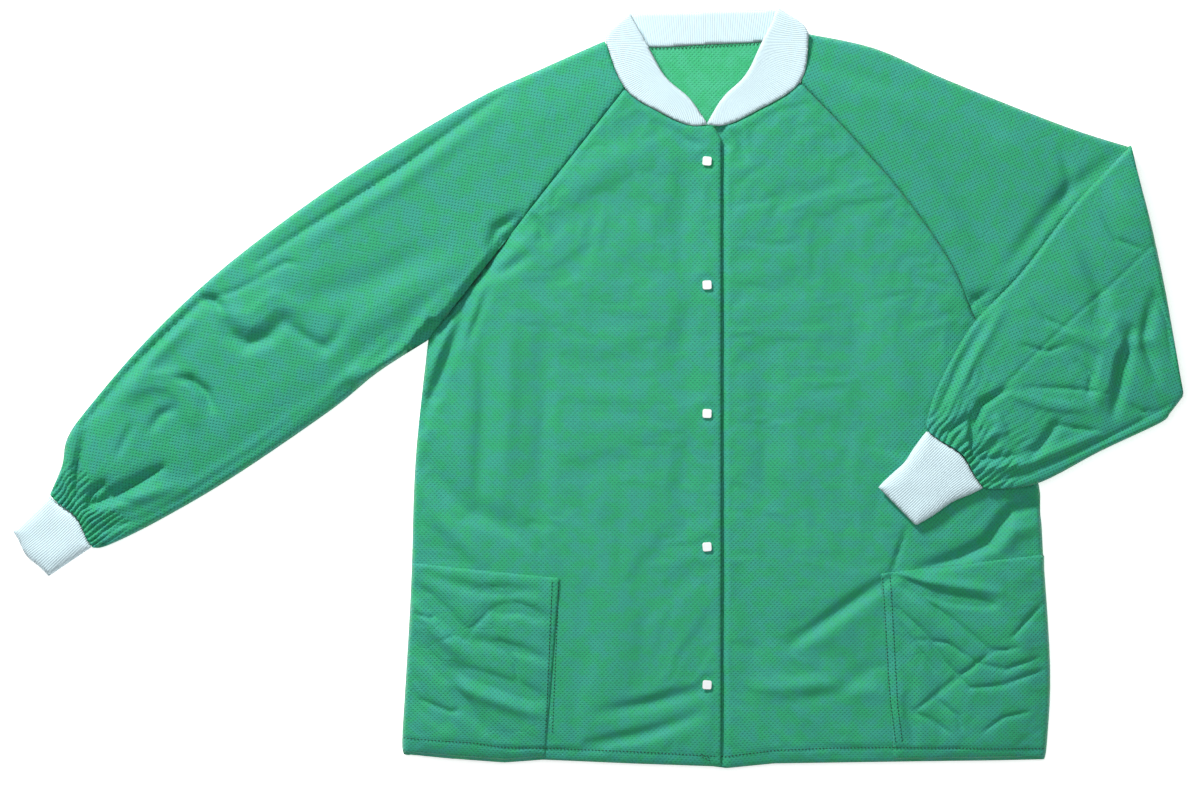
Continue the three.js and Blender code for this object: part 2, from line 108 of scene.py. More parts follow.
class Outline:
    """The outline of some nodes, measured across a walk: `along` is the walk's direction and `across`
    lies at right angles to it."""

    def __init__(self, nodes, origin, along, across):
        self.origin = np.array(origin, float)
        self.along = np.array(along, float)
        self.across = np.array(across, float)
        starts, ends = [], []
        for node in nodes:
            co, edges = plan_of(node)
            flat = co[:, :2] - self.origin
            walked = np.stack([flat @ self.along, flat @ self.across], 1)
            starts.append(walked[edges[:, 0]])
            ends.append(walked[edges[:, 1]])
        self.starts = np.concatenate(starts)
        self.ends = np.concatenate(ends)
        self.first = self.starts[:, 0].min()
        self.last = self.starts[:, 0].max()

    def span(self, step):
        """The lowest and highest reach across, at this distance along the walk."""
        a0, a1 = self.starts[:, 0], self.ends[:, 0]
        crossing = (np.minimum(a0, a1) <= step) & (np.maximum(a0, a1) >= step) & (np.abs(a1 - a0) > 1e-6)
        share = (step - a0[crossing]) / (a1 - a0)[crossing]
        reach = self.starts[crossing, 1] + share * (self.ends[crossing, 1] - self.starts[crossing, 1])
        return reach.min(), reach.max()

    def point(self, step, reach):
        return self.origin + self.along * step + self.across * reach


def unit(v):
    return np.array(v, float) / np.linalg.norm(v)


joints = {joint["name"]: joint for joint in frame["joints"]}


def joint_plan(name):
    """A joint's point and direction in plan coordinates."""
    joint = joints[name]
    x, y, _ = joint["pos_m"]
    return np.array([(x - CENTRE_X) / MM, (y - HEM_Y) / MM]), unit(joint["axis"][:2])


# ---- Distances and folds in plan ----

# The shapes of a round edge, of the climb behind it, of a fold's fading ends and of a sharp crease.
EDGE_POWER = 2.2
CLIMB_POWER = 0.7
FOLD_END = 0.05
FOLD_FADE = 0.6
RIDGE_STEEPNESS = 3.2


def distance_to_path(xy, path):
    """Each point's distance to a line through the path's points."""
    path = np.asarray(path, float)
    best = np.full(len(xy), np.inf)
    for start, end in zip(path[:-1], path[1:]):
        span = end - start
        share = np.clip(((xy - start) @ span) / max(span @ span, 1e-9), 0, 1)
        gap = xy - start - share[:, None] * span
        best = np.minimum(best, np.einsum("ij,ij->i", gap, gap))
    return np.sqrt(best)


def smoothstep(low, high, x):
    t = np.clip((x - low) / (high - low), 0, 1)
    return t * t * (3 - 2 * t)


def rise(distance, width):
    """A quarter round: 0 at an edge and 1 from `width` inwards."""
    t = 1 - np.clip(distance / width, 0, 1)
    return np.sqrt(np.maximum(1 - t**EDGE_POWER, 0))


def loft(distance, edge, reach, share=0.45):
    """0 at an edge, a quick round up to `share`, then a slow climb to 1 at `reach`."""
    return share * rise(distance, edge) + (1 - share) * smoothstep(0, reach, distance) ** CLIMB_POWER


def fold(xy, path, width, height, sharp=False):
    """A ridge (or valley, for a negative height) along the path, fading out towards both ends."""
    path = np.asarray(path, float)
    lengths = np.linalg.norm(np.diff(path, axis=0), axis=1)
    total = lengths.sum()
    best = np.full(len(xy), np.inf)
    place = np.zeros(len(xy))
    walked = 0.0
    for start, end, length in zip(path[:-1], path[1:], lengths):
        span = end - start
        raw = ((xy - start) @ span) / (length * length)
        share = np.clip(raw, 0, 1)
        gap = np.linalg.norm(xy - start - share[:, None] * span, axis=1)
        nearer = gap < best
        best = np.where(nearer, gap, best)
        place = np.where(nearer, (walked + share * length) / total, place)
        walked += length
    fade = np.sin(np.pi * np.clip(place * (1 - 2 * FOLD_END) + FOLD_END, 0, 1)) ** FOLD_FADE
    shape = np.exp(-best / width) if sharp else np.exp(-((best / width) ** 2))
    return height * fade * shape


def folds(xy, table):
    total = np.zeros(len(xy))
    for path, width, height, *sharp in table:
        total += fold(xy, path, width, height, bool(sharp))
    return total


def crumple(xy, size, seed, stretch=(1.0, 1.0), turn=0.0):
    """Seeded noise between about -1 and 1, with creases. Size is its width in millimetres."""
    cos, sin = math.cos(math.radians(turn)), math.sin(math.radians(turn))
    u = (xy[:, 0] * cos + xy[:, 1] * sin) / (size * stretch[0])
    v = (-xy[:, 0] * sin + xy[:, 1] * cos) / (size * stretch[1])
    values = [noise.noise((a, b, seed)) for a, b in zip(u.tolist(), v.tolist())]
    return np.array(values)


def ridges(xy, size, seed, stretch=(1.0, 1.0), turn=0.0):
    """Sharp-backed creases, 0 to 1."""
    return 1 - np.minimum(np.abs(crumple(xy, size, seed, stretch, turn)) * RIDGE_STEEPNESS, 1)


def layered(xy, layers, seed=0, kind=crumple):
    """Layers of noise together. Each layer holds its height, its size, what it adds to the seed and,
    where it has them, its stretch and its turn in degrees."""
    return sum(height * kind(xy, size, seed + own, *rest) for height, size, own, *rest in layers)


# ---- Meshes ----

# The real hem's waves: a place along the hem, and how far it lies above the straight one.
HEM_LINE = (
    (-323, 9), (-215, 1), (-174, 4), (-80, 0), (6, -3), (21, -5), (71, 0), (205, 2), (360, 4),
)
HEM_REACH = 70


def hem_shift(xy):
    """How far the real hem's waves move a point near it."""
    waves = np.array(HEM_LINE, float)
    shift = np.interp(xy[:, 0], waves[:, 0], waves[:, 1])
    return shift * (1 - smoothstep(0, HEM_REACH, xy[:, 1]))


# Where the knit and the wrist seams curve: a centre, how far it moves, and the reach of the move.
WARPS = (
    ((262, 322), (6.5, 5.5), 24),
    ((207, 322), (2, -2.5), 17),
    ((257, 281), (-1.5, 3), 17),
    ((190, 287), (-1, 1), 12),
    ((-676, 256), (6.5, 5.5), 22),
    ((-718, 222), (-5, -1), 15),
    ((354, 268), (-2, 0), 14),
)


def warped(xy):
    moved = xy.copy()
    for centre, move, reach in WARPS:
        gap = np.linalg.norm(xy - np.array(centre, float), axis=1)
        moved += np.exp(-((gap / reach) ** 2))[:, None] * np.array(move, float)
    return moved


def world(points):
    points = np.array(points, float)
    points[:, 1] += hem_shift(points[:, :2])
    points[:, :2] = warped(points[:, :2])
    points *= MM
    points[:, 0] += CENTRE_X
    points[:, 1] += HEM_Y
    return points


def new_mesh(name, points, faces, uv=None):
    """An object from plan points. uv holds each vertex's place on the cloth, in millimetres."""
    mesh = bpy.data.meshes.new(name)
    mesh.from_pydata(world(points).tolist(), [], [list(map(int, face)) for face in faces])
    if uv is not None:
        layer = mesh.uv_layers.new(name="cloth")
        corners = np.empty(len(mesh.loops), int)
        mesh.loops.foreach_get("vertex_index", corners)
        layer.data.foreach_set("uv", (np.asarray(uv)[corners] * MM).astype(np.float32).ravel())
    mesh.polygons.foreach_set("use_smooth", [True] * len(mesh.polygons))
    obj = bpy.data.objects.new(name, mesh)
    bpy.context.scene.collection.objects.link(obj)
    return obj


def grid_faces(rows, columns, start):
    """The quads of a grid whose first vertex has the number `start`."""
    index = start + np.arange(rows * columns).reshape(rows, columns)
    corners = [index[:-1, :-1], index[:-1, 1:], index[1:, 1:], index[1:, :-1]]
    return np.stack(corners, -1).reshape(-1, 4)


# Points nearer together than this are joined, in millimetres.
WELD = 0.05


def weld(obj, distance=WELD):
    bm = bmesh.new()
    bm.from_mesh(obj.data)
    bmesh.ops.remove_doubles(bm, verts=bm.verts, dist=distance * MM)
    bmesh.ops.dissolve_degenerate(bm, edges=bm.edges, dist=distance * MM)
    bm.to_mesh(obj.data)
    bm.free()
    obj.data.polygons.foreach_set("use_smooth", [True] * len(obj.data.polygons))


def apply_modifiers(obj):
    evaluated = obj.evaluated_get(bpy.context.evaluated_depsgraph_get())
    mesh = bpy.data.meshes.new_from_object(evaluated)
    obj.modifiers.clear()
    obj.data = mesh


def thicken(obj, thickness):
    solidify = obj.modifiers.new("thickness", "SOLIDIFY")
    solidify.thickness = thickness * MM
    solidify.offset = 0
    solidify.use_even_offset = False
    apply_modifiers(obj)


# ---- Materials ----


class Nodes:
    """A short way to write a material's node tree."""

    def __init__(self, name):
        self.material = bpy.data.materials.new(name)
        self.material.use_nodes = True
        self.tree = self.material.node_tree
        self.shader = self.tree.nodes["Principled BSDF"]

    def add(self, kind, inputs=None, **settings):
        node = self.tree.nodes.new(kind)
        for key, value in settings.items():
            setattr(node, key, value)
        for key, value in (inputs or {}).items():
            self.feed(node.inputs[key], value)
        return node

    def feed(self, socket, value):
        """Links a socket to another one, or sets its value."""
        if isinstance(value, bpy.types.NodeSocket):
            self.tree.links.new(value, socket)
        else:
            socket.default_value = value

    def math(self, operation, a, b=0.0):
        node = self.add("ShaderNodeMath", {0: a, 1: b}, operation=operation)
        return node.outputs[0]

    def mix(self, factor, a, b):
        node = self.add("ShaderNodeMix", data_type="RGBA")
        for key, value in (("Factor", factor), ("A", a), ("B", b)):
            kinds = ("VALUE", "RGBA") if key == "Factor" else ("RGBA",)
            self.feed(next(s for s in node.inputs if s.name == key and s.type in kinds), value)
        return next(s for s in node.outputs if s.type == "RGBA")

    def set(self, **values):
        for key, value in values.items():
            self.feed(self.shader.inputs[key.replace("_", " ")], value)


# The pitches of the bond points, the ribs and the knit's loops, and how deep their relief looks.
BOND_PITCH = 4.6
RIB_PITCH = 2.3
LOOP_PITCH = 1.1
FINE_DEPTH = 0.45
CREASE_DEPTH = 1.1
CREASE_WANDER = 0.04
SCUFF_DEPTH = 0.1
RIB_SHADE = (0.56, 0.73, 0.80, 1)
RIB_LIGHT = (0.68, 0.86, 0.91, 1)
PLASTIC_SHADE = (0.80, 0.84, 0.85, 1)
PLASTIC_LIGHT = (0.90, 0.92, 0.92, 1)


def cloud(n, place, scale, detail, roughness=0.5):
    inputs = {"Vector": place, "Scale": scale, "Detail": detail, "Roughness": roughness}
    return n.add("ShaderNodeTexNoise", inputs)


def wave(n, place, pitch):
    """A sine wave over the cloth, its pitch in millimetres."""
    return n.math("SINE", n.math("MULTIPLY", place, 2 * math.pi / (pitch * MM)))


def tinted(colour, share):
    """The colour made lighter or darker."""
    return tuple(min(c * share, 1) for c in colour[:3]) + (1,)


def ranged(n, value, low, high, to_low=0.0, to_high=1.0):
    spread = {"Value": value, "From Min": low, "From Max": high, "To Min": to_low, "To Max": to_high}
    return n.add("ShaderNodeMapRange", spread).outputs[0]


def crease_net(n, uv):
    """Thin straight creases, as in paper that was folded and pressed, in patches."""
    wander = cloud(n, uv, 22.0, 2.0)
    shifted = n.add("ShaderNodeMix", data_type="VECTOR")
    shifted.inputs[0].default_value = CREASE_WANDER
    n.tree.links.new(uv, shifted.inputs[4])
    n.tree.links.new(wander.outputs["Color"], shifted.inputs[5])
    cells = n.add(
        "ShaderNodeTexVoronoi",
        {"Vector": shifted.outputs[1], "Scale": 34.0},
        feature="DISTANCE_TO_EDGE",
    ).outputs["Distance"]
    lines = ranged(n, cells, 0.0, 0.045, 1.0, 0.0)
    patch = cloud(n, uv, 11.0, 2.0).outputs["Fac"]
    return n.math("MULTIPLY", lines, ranged(n, patch, 0.46, 0.6))


def nonwoven(name, base, mottle, bond, creased, bonding):
    """Point-bonded nonwoven: a mottled colour, fine fibre streaks and embossed diamond points. creased
    and bonding are how strongly the creases and the points show."""
    n = Nodes(name)
    uv = n.add("ShaderNodeUVMap", uv_map="cloth").outputs[0]
    axes = n.add("ShaderNodeSeparateXYZ", {"Vector": uv})
    wave_u = wave(n, axes.outputs[0], BOND_PITCH)
    wave_v = wave(n, axes.outputs[1], BOND_PITCH)
    bonded = ranged(n, n.math("MULTIPLY", wave_u, wave_v), 0.2, 0.85)
    cloudy = cloud(n, uv, 48.0, 6.0, 0.72)
    speckle = cloud(n, uv, 420.0, 3.0, 0.7)
    streaks = n.add("ShaderNodeMapping", {"Vector": uv, "Scale": (900, 220, 1)}).outputs[0]
    fibres = cloud(n, streaks, 1.0, 3.0, 0.7)
    colour = n.mix(ranged(n, cloudy.outputs["Fac"], 0.42, 0.58), base, mottle)
    light = tinted(base, 1.3)
    dark = tinted(mottle, 0.72)
    colour = n.mix(ranged(n, speckle.outputs["Fac"], 0.55, 0.8, 0.0, 0.8), colour, light)
    colour = n.mix(ranged(n, speckle.outputs["Fac"], 0.45, 0.22, 0.0, 0.8), colour, dark)
    colour = n.mix(ranged(n, fibres.outputs["Fac"], 0.5, 0.8, 0.0, 0.3), colour, light)
    colour = n.mix(n.math("MULTIPLY", bonded, bonding), colour, bond)
    height = n.math("SUBTRACT", n.math("MULTIPLY", fibres.outputs["Fac"], 0.35), bonded)
    fine = n.add("ShaderNodeBump", {"Strength": 0.8, "Distance": FINE_DEPTH * MM, "Height": height})
    creases = {"Strength": creased, "Distance": CREASE_DEPTH * MM, "Height": crease_net(n, uv)}
    creases = n.add("ShaderNodeBump", {**creases, "Normal": fine.outputs[0]}, invert=True)
    n.set(Base_Color=colour, Normal=creases.outputs[0], Roughness=ranged(n, bonded, 0.0, 1.0, 0.7, 0.5))
    n.set(Sheen_Weight=0.1, Sheen_Roughness=0.5, Specular_IOR_Level=0.3)
    return n.material


def knit(name):
    """White rib knit: the ribs run along V, with fine loops across them."""
    n = Nodes(name)
    uv = n.add("ShaderNodeUVMap", uv_map="cloth").outputs[0]
    axes = n.add("ShaderNodeSeparateXYZ", {"Vector": uv})
    rib = wave(n, axes.outputs[0], RIB_PITCH)
    loops = wave(n, axes.outputs[1], LOOP_PITCH)
    fuzz = cloud(n, uv, 900.0, 4.0, 0.7)
    height = n.math("ADD", n.math("MULTIPLY", rib, 0.5), n.math("MULTIPLY", loops, 0.16))
    height = n.math("ADD", height, n.math("MULTIPLY", fuzz.outputs["Fac"], 0.5))
    bump = n.add("ShaderNodeBump", {"Strength": 0.7, "Distance": FINE_DEPTH * MM, "Height": height})
    # The colour follows the rib wave: painted shade in the rib valleys and a painted highlight on the rib
    # crests.
    colour = n.mix(ranged(n, rib, -1.0, 0.2), RIB_SHADE, RIB_LIGHT)
    n.set(Base_Color=colour, Normal=bump.outputs[0], Roughness=0.9)
    n.set(Sheen_Weight=0.25, Sheen_Roughness=0.4, Specular_IOR_Level=0.2)
    return n.material


def thread(name, colour):
    n = Nodes(name)
    place = n.add("ShaderNodeTexCoord").outputs["Object"]
    twist = {"Vector": place, "Scale": 2400.0, "Distortion": 1.5}
    twist = n.add("ShaderNodeTexWave", twist, bands_direction="DIAGONAL").outputs["Fac"]
    bump = n.add("ShaderNodeBump", {"Strength": 0.4, "Distance": SCUFF_DEPTH * MM, "Height": twist})
    # The twist's low bands are painted darker than the thread's own colour: painted shade in the twist
    # grooves.
    n.set(Base_Color=n.mix(twist, tinted(colour, 0.55), colour), Normal=bump.outputs[0], Roughness=0.65)
    return n.material


def snap_plastic(name):
    """Moulded white plastic with faint flow marks and a few scuffs."""
    n = Nodes(name)
    place = n.add("ShaderNodeTexCoord").outputs["Object"]
    flow = cloud(n, place, 260.0, 4.0).outputs["Fac"]
    scuffs = cloud(n, place, 1500.0, 5.0, 0.75).outputs["Fac"]
    colour = n.mix(flow, PLASTIC_SHADE, PLASTIC_LIGHT)
    bump = n.add("ShaderNodeBump", {"Strength": 0.15, "Distance": SCUFF_DEPTH * MM, "Height": scuffs})
    n.set(Base_Color=colour, Roughness=ranged(n, scuffs, 0.0, 1.0, 0.25, 0.5), Normal=bump.outputs[0])
    return n.material


GREEN = (0.020, 0.350, 0.150, 1)
GREEN_MOTTLE = (0.030, 0.325, 0.240, 1)
GREEN_BOND = (0.012, 0.175, 0.115, 1)
INSIDE = (0.040, 0.450, 0.185, 1)
INSIDE_MOTTLE = (0.060, 0.480, 0.250, 1)
INSIDE_BOND = (0.028, 0.320, 0.150, 1)
THREAD_GREEN = (0.006, 0.060, 0.040, 1)

# How strongly the creases and the bond points show.
SMOOTH = (0.1, 0.5)
CREASED = (0.2, 0.75)

body_cloth = nonwoven("body_cloth", GREEN, GREEN_MOTTLE, GREEN_BOND, *SMOOTH)
back_cloth = nonwoven("back_cloth", INSIDE, INSIDE_MOTTLE, INSIDE_BOND, *SMOOTH)
sleeve_cloth = nonwoven("sleeve_cloth", GREEN, GREEN_MOTTLE, GREEN_BOND, *CREASED)
pocket_cloth = nonwoven("pocket_cloth", GREEN, GREEN_MOTTLE, GREEN_BOND, *CREASED)
band_knit = knit("band_knit")
cuff_knit = knit("cuff_knit")
green_thread = thread("green_thread", THREAD_GREEN)
white_plastic = snap_plastic("white_plastic")

# ---- Folds: path, width, height, and True where the crest is sharp ----

RIGHT_SLEEVE_FOLDS = (
    ([(-216, 712), (-325, 633), (-431, 564), (-478, 532)], 3, -3.2, True),
    ([(-225, 691), (-325, 617), (-421, 555)], 9, 1.4),
    ([(-472, 518), (-447, 532), (-434, 530)], 2.4, -1.8, True),
    ([(-532, 492), (-500, 502), (-472, 517)], 2.6, -1.6, True),
    ([(-537, 495), (-525, 492), (-514, 483)], 5, -3.6),
    ([(-537, 492), (-575, 457), (-622, 410), (-665, 358)], 4.5, -6.5, True),
    ([(-546, 473), (-580, 439), (-614, 403)], 9, 2.6),
    ([(-514, 473), (-506, 456), (-489, 445), (-465, 454), (-448, 471)], 8, -3.6),
    ([(-448, 469), (-426, 452), (-402, 439)], 6, -2.2),
    ([(-412, 437), (-393, 452), (-385, 471)], 7, -1.8),
    ([(-508, 479), (-484, 469), (-458, 492), (-431, 481)], 9, 2),
    ([(-571, 409), (-548, 407), (-531, 394), (-525, 377)], 5, -3.6),
    ([(-617, 390), (-590, 407), (-567, 407), (-552, 392), (-546, 365)], 10, 3.2),
    ([(-590, 354), (-580, 370), (-565, 377)], 5, -2.2),
    ([(-610, 359), (-618, 343), (-626, 326)], 4, -1.6),
    ([(-664, 267), (-643, 280), (-620, 290), (-578, 314)], 4.6, -8, True),
    ([(-662, 271), (-654, 286), (-639, 299)], 4, -6, True),
    ([(-639, 295), (-631, 280), (-612, 278)], 4, -3, True),
    ([(-673, 277), (-669, 317), (-662, 352)], 3, -5, True),
    ([(-679, 280), (-679, 312), (-673, 338)], 4, 1.6),
    ([(-654, 263), (-612, 280), (-559, 295)], 7, 2),
    ([(-638, 240), (-569, 277), (-495, 324), (-400, 394), (-331, 455)], 6, 1.8),
    ([(-649, 246), (-601, 259), (-559, 281), (-484, 331), (-400, 396)], 4, -1.8),
    ([(-431, 492), (-368, 508), (-294, 545)], 14, -1.4),
    ([(-389, 449), (-325, 492), (-262, 534)], 16, 1.4),
    ([(-198, 582), (-222, 568), (-230, 545)], 6, -3.2),
    ([(-219, 550), (-251, 508), (-283, 471)], 6, 2),
)
RIGHT_FRONT_FOLDS = (
    ([(-251, 494), (-270, 449), (-292, 394), (-310, 350)], 7, -4.2),
    ([(-267, 471), (-287, 428), (-300, 391)], 6, 2),
    ([(-235, 460), (-238, 365), (-243, 259)], 9, -1.4),
    ([(-209, 471), (-211, 365), (-215, 269)], 9, 1.2),
    ([(-172, 460), (-174, 365), (-177, 259)], 11, -1.2),
    ([(-113, 55), (-60, 65), (-7, 78)], 7, -2),
    ([(-124, 20), (-60, 34), (-7, 52)], 7, -1.8),
    ([(-34, 672), (-23, 661), (-7, 659)], 4, -1.6, True),
    ([(-156, 598), (-113, 630), (-71, 651)], 16, 1.2),
    ([(-294, 312), (-251, 269), (-198, 248)], 12, -1.5),
    ([(-310, 301), (-283, 259), (-241, 216)], 9, 1.4),
    ([(-18, 630), (-29, 566), (-20, 513)], 12, -1.2),
    ([(-18, 492), (-29, 439), (-18, 381)], 12, -1.2),
    ([(-18, 354), (-26, 290), (-18, 237)], 12, -1.2),
    ([(-113, 216), (-92, 131), (-113, 68)], 20, 1.2),
    ([(-306, 416), (-300, 407), (-292, 403)], 2.2, -1.2, True),
    ([(-308, 399), (-300, 390), (-289, 388)], 2.2, -1, True),
    ([(-313, 343), (-304, 352), (-296, 365)], 2.2, -1, True),
    ([(-232, 502), (-241, 476), (-253, 449)], 4, -2),
    ([(-186, 582), (-177, 568), (-171, 549)], 3, -1.4),
    ([(-188, 540), (-209, 526), (-225, 517)], 6, -1.6),
)
LEFT_FRONT_FOLDS = (
    ([(197, 200), (162, 177), (125, 151), (88, 126)], 7, -2.4),
    ([(183, 174), (141, 144), (99, 116)], 12, 1),
    ([(56, 78), (114, 83), (183, 76)], 10, 1.5),
    ([(189, 110), (141, 78), (99, 68)], 9, -1.6),
    ([(211, 250), (204, 227), (197, 206)], 2.4, -2.2, True),
    ([(356, 278), (324, 269), (311, 254), (298, 235), (268, 220), (228, 207)], 7, -4.4),
    ([(353, 254), (326, 246), (311, 225)], 8, 2),
    ([(330, 290), (342, 280), (355, 271)], 3, -1.8, True),
    ([(16, 669), (21, 659), (25, 653)], 3, -1.8, True),
    ([(30, 672), (37, 655), (43, 640)], 4, -1.2),
    ([(56, 460), (67, 365), (58, 269)], 16, -1),
    ([(120, 598), (152, 492), (162, 407)], 22, -1.1),
    ([(183, 492), (205, 407), (194, 333)], 18, 1),
    ([(35, 216), (56, 131), (37, 68)], 14, -1),
)
LEFT_UPPER_FOLDS = (
    ([(276, 500), (287, 490), (302, 473)], 5, -2.5, True),
    ([(210, 683), (268, 598), (311, 534)], 20, -1.5),
    ([(438, 651), (374, 598), (321, 532)], 8, -2),
    ([(162, 704), (236, 619), (273, 555)], 16, 1.4),
    ([(311, 672), (342, 630), (364, 598)], 14, 1.2),
    ([(120, 746), (162, 730), (205, 714)], 10, -1),
    ([(300, 502), (284, 492), (275, 479)], 3, -2.6, True),
    ([(376, 651), (385, 619), (374, 587)], 6, -1.4),
    ([(183, 757), (199, 746), (217, 742)], 2.4, -1, True),
)
FOREARM_FOLDS = (
    ([(448, 460), (438, 418), (430, 372)], 6, -3.6),
    ([(432, 469), (421, 423), (412, 381)], 7, 2.2),
    ([(470, 555), (438, 598), (429, 624)], 14, 1.2),
    ([(295, 465), (268, 423), (243, 370)], 6, -2.8),
    ([(311, 481), (284, 437), (255, 381)], 6, 2.2),
    ([(314, 396), (289, 382), (279, 359), (275, 326)], 4, -3.4),
    ([(295, 386), (285, 372), (278, 343)], 2, -2, True),
    ([(245, 347), (263, 359), (284, 373)], 4, -2.6),
    ([(277, 324), (295, 333), (311, 352)], 3, -2.4, True),
    ([(295, 343), (311, 354), (305, 370)], 5, 1.6),
    ([(275, 320), (300, 324), (326, 328)], 3, -2.4, True),
    ([(284, 312), (332, 318), (378, 335), (417, 352)], 5, 2.2),
    ([(363, 361), (389, 356), (422, 352)], 2, -1.8, True),
    ([(335, 399), (384, 398), (424, 393)], 2, -1.5, True),
    ([(370, 361), (351, 336), (340, 323)], 5, -2.6),
    ([(448, 381), (459, 373), (472, 375)], 3, -2, True),
    ([(499, 386), (464, 367), (424, 346), (378, 326), (332, 307), (295, 297)], 2.4, -2.6, True),
    ([(374, 460), (417, 444), (470, 449)], 8, 1.6),
    ([(395, 545), (417, 502), (411, 471)], 9, -1.8),
    ([(470, 492), (461, 449), (475, 407)], 6, -2.2),
    ([(342, 492), (358, 471), (385, 460)], 2.2, -1.4, True),
    ([(332, 444), (358, 437), (379, 444)], 2.2, -1.4, True),
    ([(390, 428), (406, 412), (401, 391)], 2.2, -1.5, True),
    ([(470, 502), (485, 471), (491, 428)], 3, -1.6, True),
    ([(417, 582), (432, 555), (459, 545)], 2.4, -1.4, True),
    ([(321, 391), (358, 381), (395, 377)], 5, 1.6),
)
RIGHT_POCKET_FOLDS = (
    ([(-315, 190), (-283, 161), (-251, 131)], 8, -2),
    ([(-315, 174), (-288, 142), (-260, 116)], 8, 1.8),
    ([(-230, 163), (-198, 165), (-172, 155)], 7, -1.8),
    ([(-267, 102), (-219, 85), (-172, 68)], 8, -1.9),
    ([(-272, 85), (-225, 68), (-177, 51)], 7, 1.4),
    ([(-310, 131), (-272, 89), (-241, 36)], 8, -1.4),
    ([(-294, 200), (-241, 184), (-177, 184)], 7, -1.1),
    ([(-241, 131), (-198, 121), (-169, 110)], 6, -1.2),
    ([(-317, 161), (-294, 155), (-270, 161)], 2.2, -1.4, True),
    ([(-304, 68), (-272, 55), (-251, 59)], 2.2, -1.3, True),
    ([(-219, 131), (-204, 108), (-198, 78)], 2.2, -1.2, True),
    ([(-283, 131), (-251, 142), (-230, 163)], 2.2, -1.2, True),
)
LEFT_POCKET_FOLDS = (
    ([(196, 200), (230, 184), (257, 175), (302, 169)], 5, -3),
    ([(196, 204), (230, 195), (268, 189), (311, 182)], 5, 1.4),
    ([(197, 194), (230, 174), (262, 151), (300, 121)], 2.4, -2.2, True),
    ([(295, 120), (316, 121), (330, 124)], 2, -1.2, True),
    ([(365, 178), (346, 159), (323, 135)], 2.2, -1.8, True),
    ([(200, 167), (230, 140), (252, 108), (279, 81)], 2.2, -1.6, True),
    ([(277, 81), (314, 84), (356, 100)], 2.2, -1.6, True),
    ([(206, 148), (222, 124), (241, 98)], 2, -1.4, True),
    ([(219, 56), (244, 75), (268, 94), (303, 120)], 2.2, -1.7, True),
    ([(222, 132), (254, 129), (286, 108)], 2, -1.3, True),
    ([(284, 108), (316, 100), (351, 113)], 2.2, -1.5, True),
    ([(216, 56), (238, 46), (257, 32)], 2.2, -1.5, True),
    ([(244, 68), (265, 51), (270, 36)], 2.2, -1.3, True),
    ([(292, 32), (314, 49), (342, 55)], 2.2, -1.2, True),
    ([(210, 184), (263, 131), (295, 78)], 12, 1.2),
    ([(311, 163), (332, 131), (342, 89)], 12, 1.1),
    ([(210, 68), (217, 41), (220, 17)], 6, -1),
)

# ---- Outlines ----

# Mesh spacings, from plain cloth to gathered cloth, and how far from a gathered edge the last one goes.
EVEN = 3.4
FINE = 2.5
DENSE = 1.4
DENSE_REACH = 46
ROW_SHARE = 0.866
CLEAR_SHARE = 0.55
# How an outline is sampled, and how a ring is filled with triangles.
OUTLINE_STEP = 1.0
OUTLINE_INSET = 0.05
CDT_INSIDE = 1
CDT_LIMIT = 1e-5


def ring_of(nodes, along):
    """The nodes' joined outline, counterclockwise, with a point about every millimetre."""
    along = unit(along)
    across = np.array([-along[1], along[0]])
    outline = Outline(nodes, (0, 0), along, across)
    steps = np.arange(outline.first + OUTLINE_INSET, outline.last - 0.8 * OUTLINE_INSET, OUTLINE_STEP)
    spans = [outline.span(step) for step in steps]
    lows = [outline.point(step, span[0]) for step, span in zip(steps, spans)]
    highs = [outline.point(step, span[1]) for step, span in zip(steps, spans)]
    if turns_left(lows + highs[::-1]) < 0:
        return np.array(lows[::-1] + highs)
    return np.array(lows + highs[::-1])


def turns_left(points):
    """Twice the area that the points enclose, positive when they run counterclockwise."""
    p = np.asarray(points)
    q = np.roll(p, -1, axis=0)
    return float(np.sum(p[:, 0] * q[:, 1] - p[:, 1] * q[:, 0]))


def farthest(ring, direction):
    return ring[np.argmax(ring @ np.array(direction, float))]


def nearest(ring, point):
    return ring[np.argmin(np.linalg.norm(ring - point, axis=1))]


def walk(ring, start, end):
    """The stretch of the ring from start to end, counterclockwise."""
    i = int(np.argmin(np.linalg.norm(ring - start, axis=1)))
    j = int(np.argmin(np.linalg.norm(ring - end, axis=1)))
    return ring[i : j + 1] if j >= i else np.concatenate([ring[i:], ring[: j + 1]])


def lengths_along(path):
    """How far along the path each of its points lies."""
    return np.concatenate([[0], np.cumsum(np.linalg.norm(np.diff(path, axis=0), axis=1))])


def places_on(path, lengths):
    """The points of the path at these distances along it."""
    walked = lengths_along(path)
    return np.stack([np.interp(lengths, walked, path[:, k]) for k in (0, 1)], 1)


def even(path, spacing):
    """The path with evenly spaced points."""
    path = np.asarray(path, float)
    total = lengths_along(path)[-1]
    count = max(int(round(total / spacing)), 1)
    return places_on(path, np.linspace(0, total, count + 1))


def closed(paths, spacing, dense=None):
    """One ring from paths that meet end to end, and each path's own points in it. dense is the number
    of the path whose points lie closer together."""
    parts = [even(path, DENSE if i == dense else spacing) for i, path in enumerate(paths)]
    return np.concatenate([part[:-1] for part in parts]), parts


def looped(ring):
    """The ring with its first point again at its end."""
    return np.concatenate([ring, ring[:1]])


def evened(ring, spacing=FINE):
    """The ring with evenly spaced points."""
    return even(looped(ring), spacing)[:-1]


def inside(xy, ring):
    """Which points lie inside the ring."""
    result = np.zeros(len(xy), bool)
    for (x0, y0), (x1, y1) in zip(ring, np.roll(ring, -1, axis=0)):
        crosses = (y0 > xy[:, 1]) != (y1 > xy[:, 1])
        reach = (x1 - x0) * (xy[:, 1] - y0) / (y1 - y0 if y1 != y0 else 1.0) + x0
        result ^= crosses & (xy[:, 0] < reach)
    return result


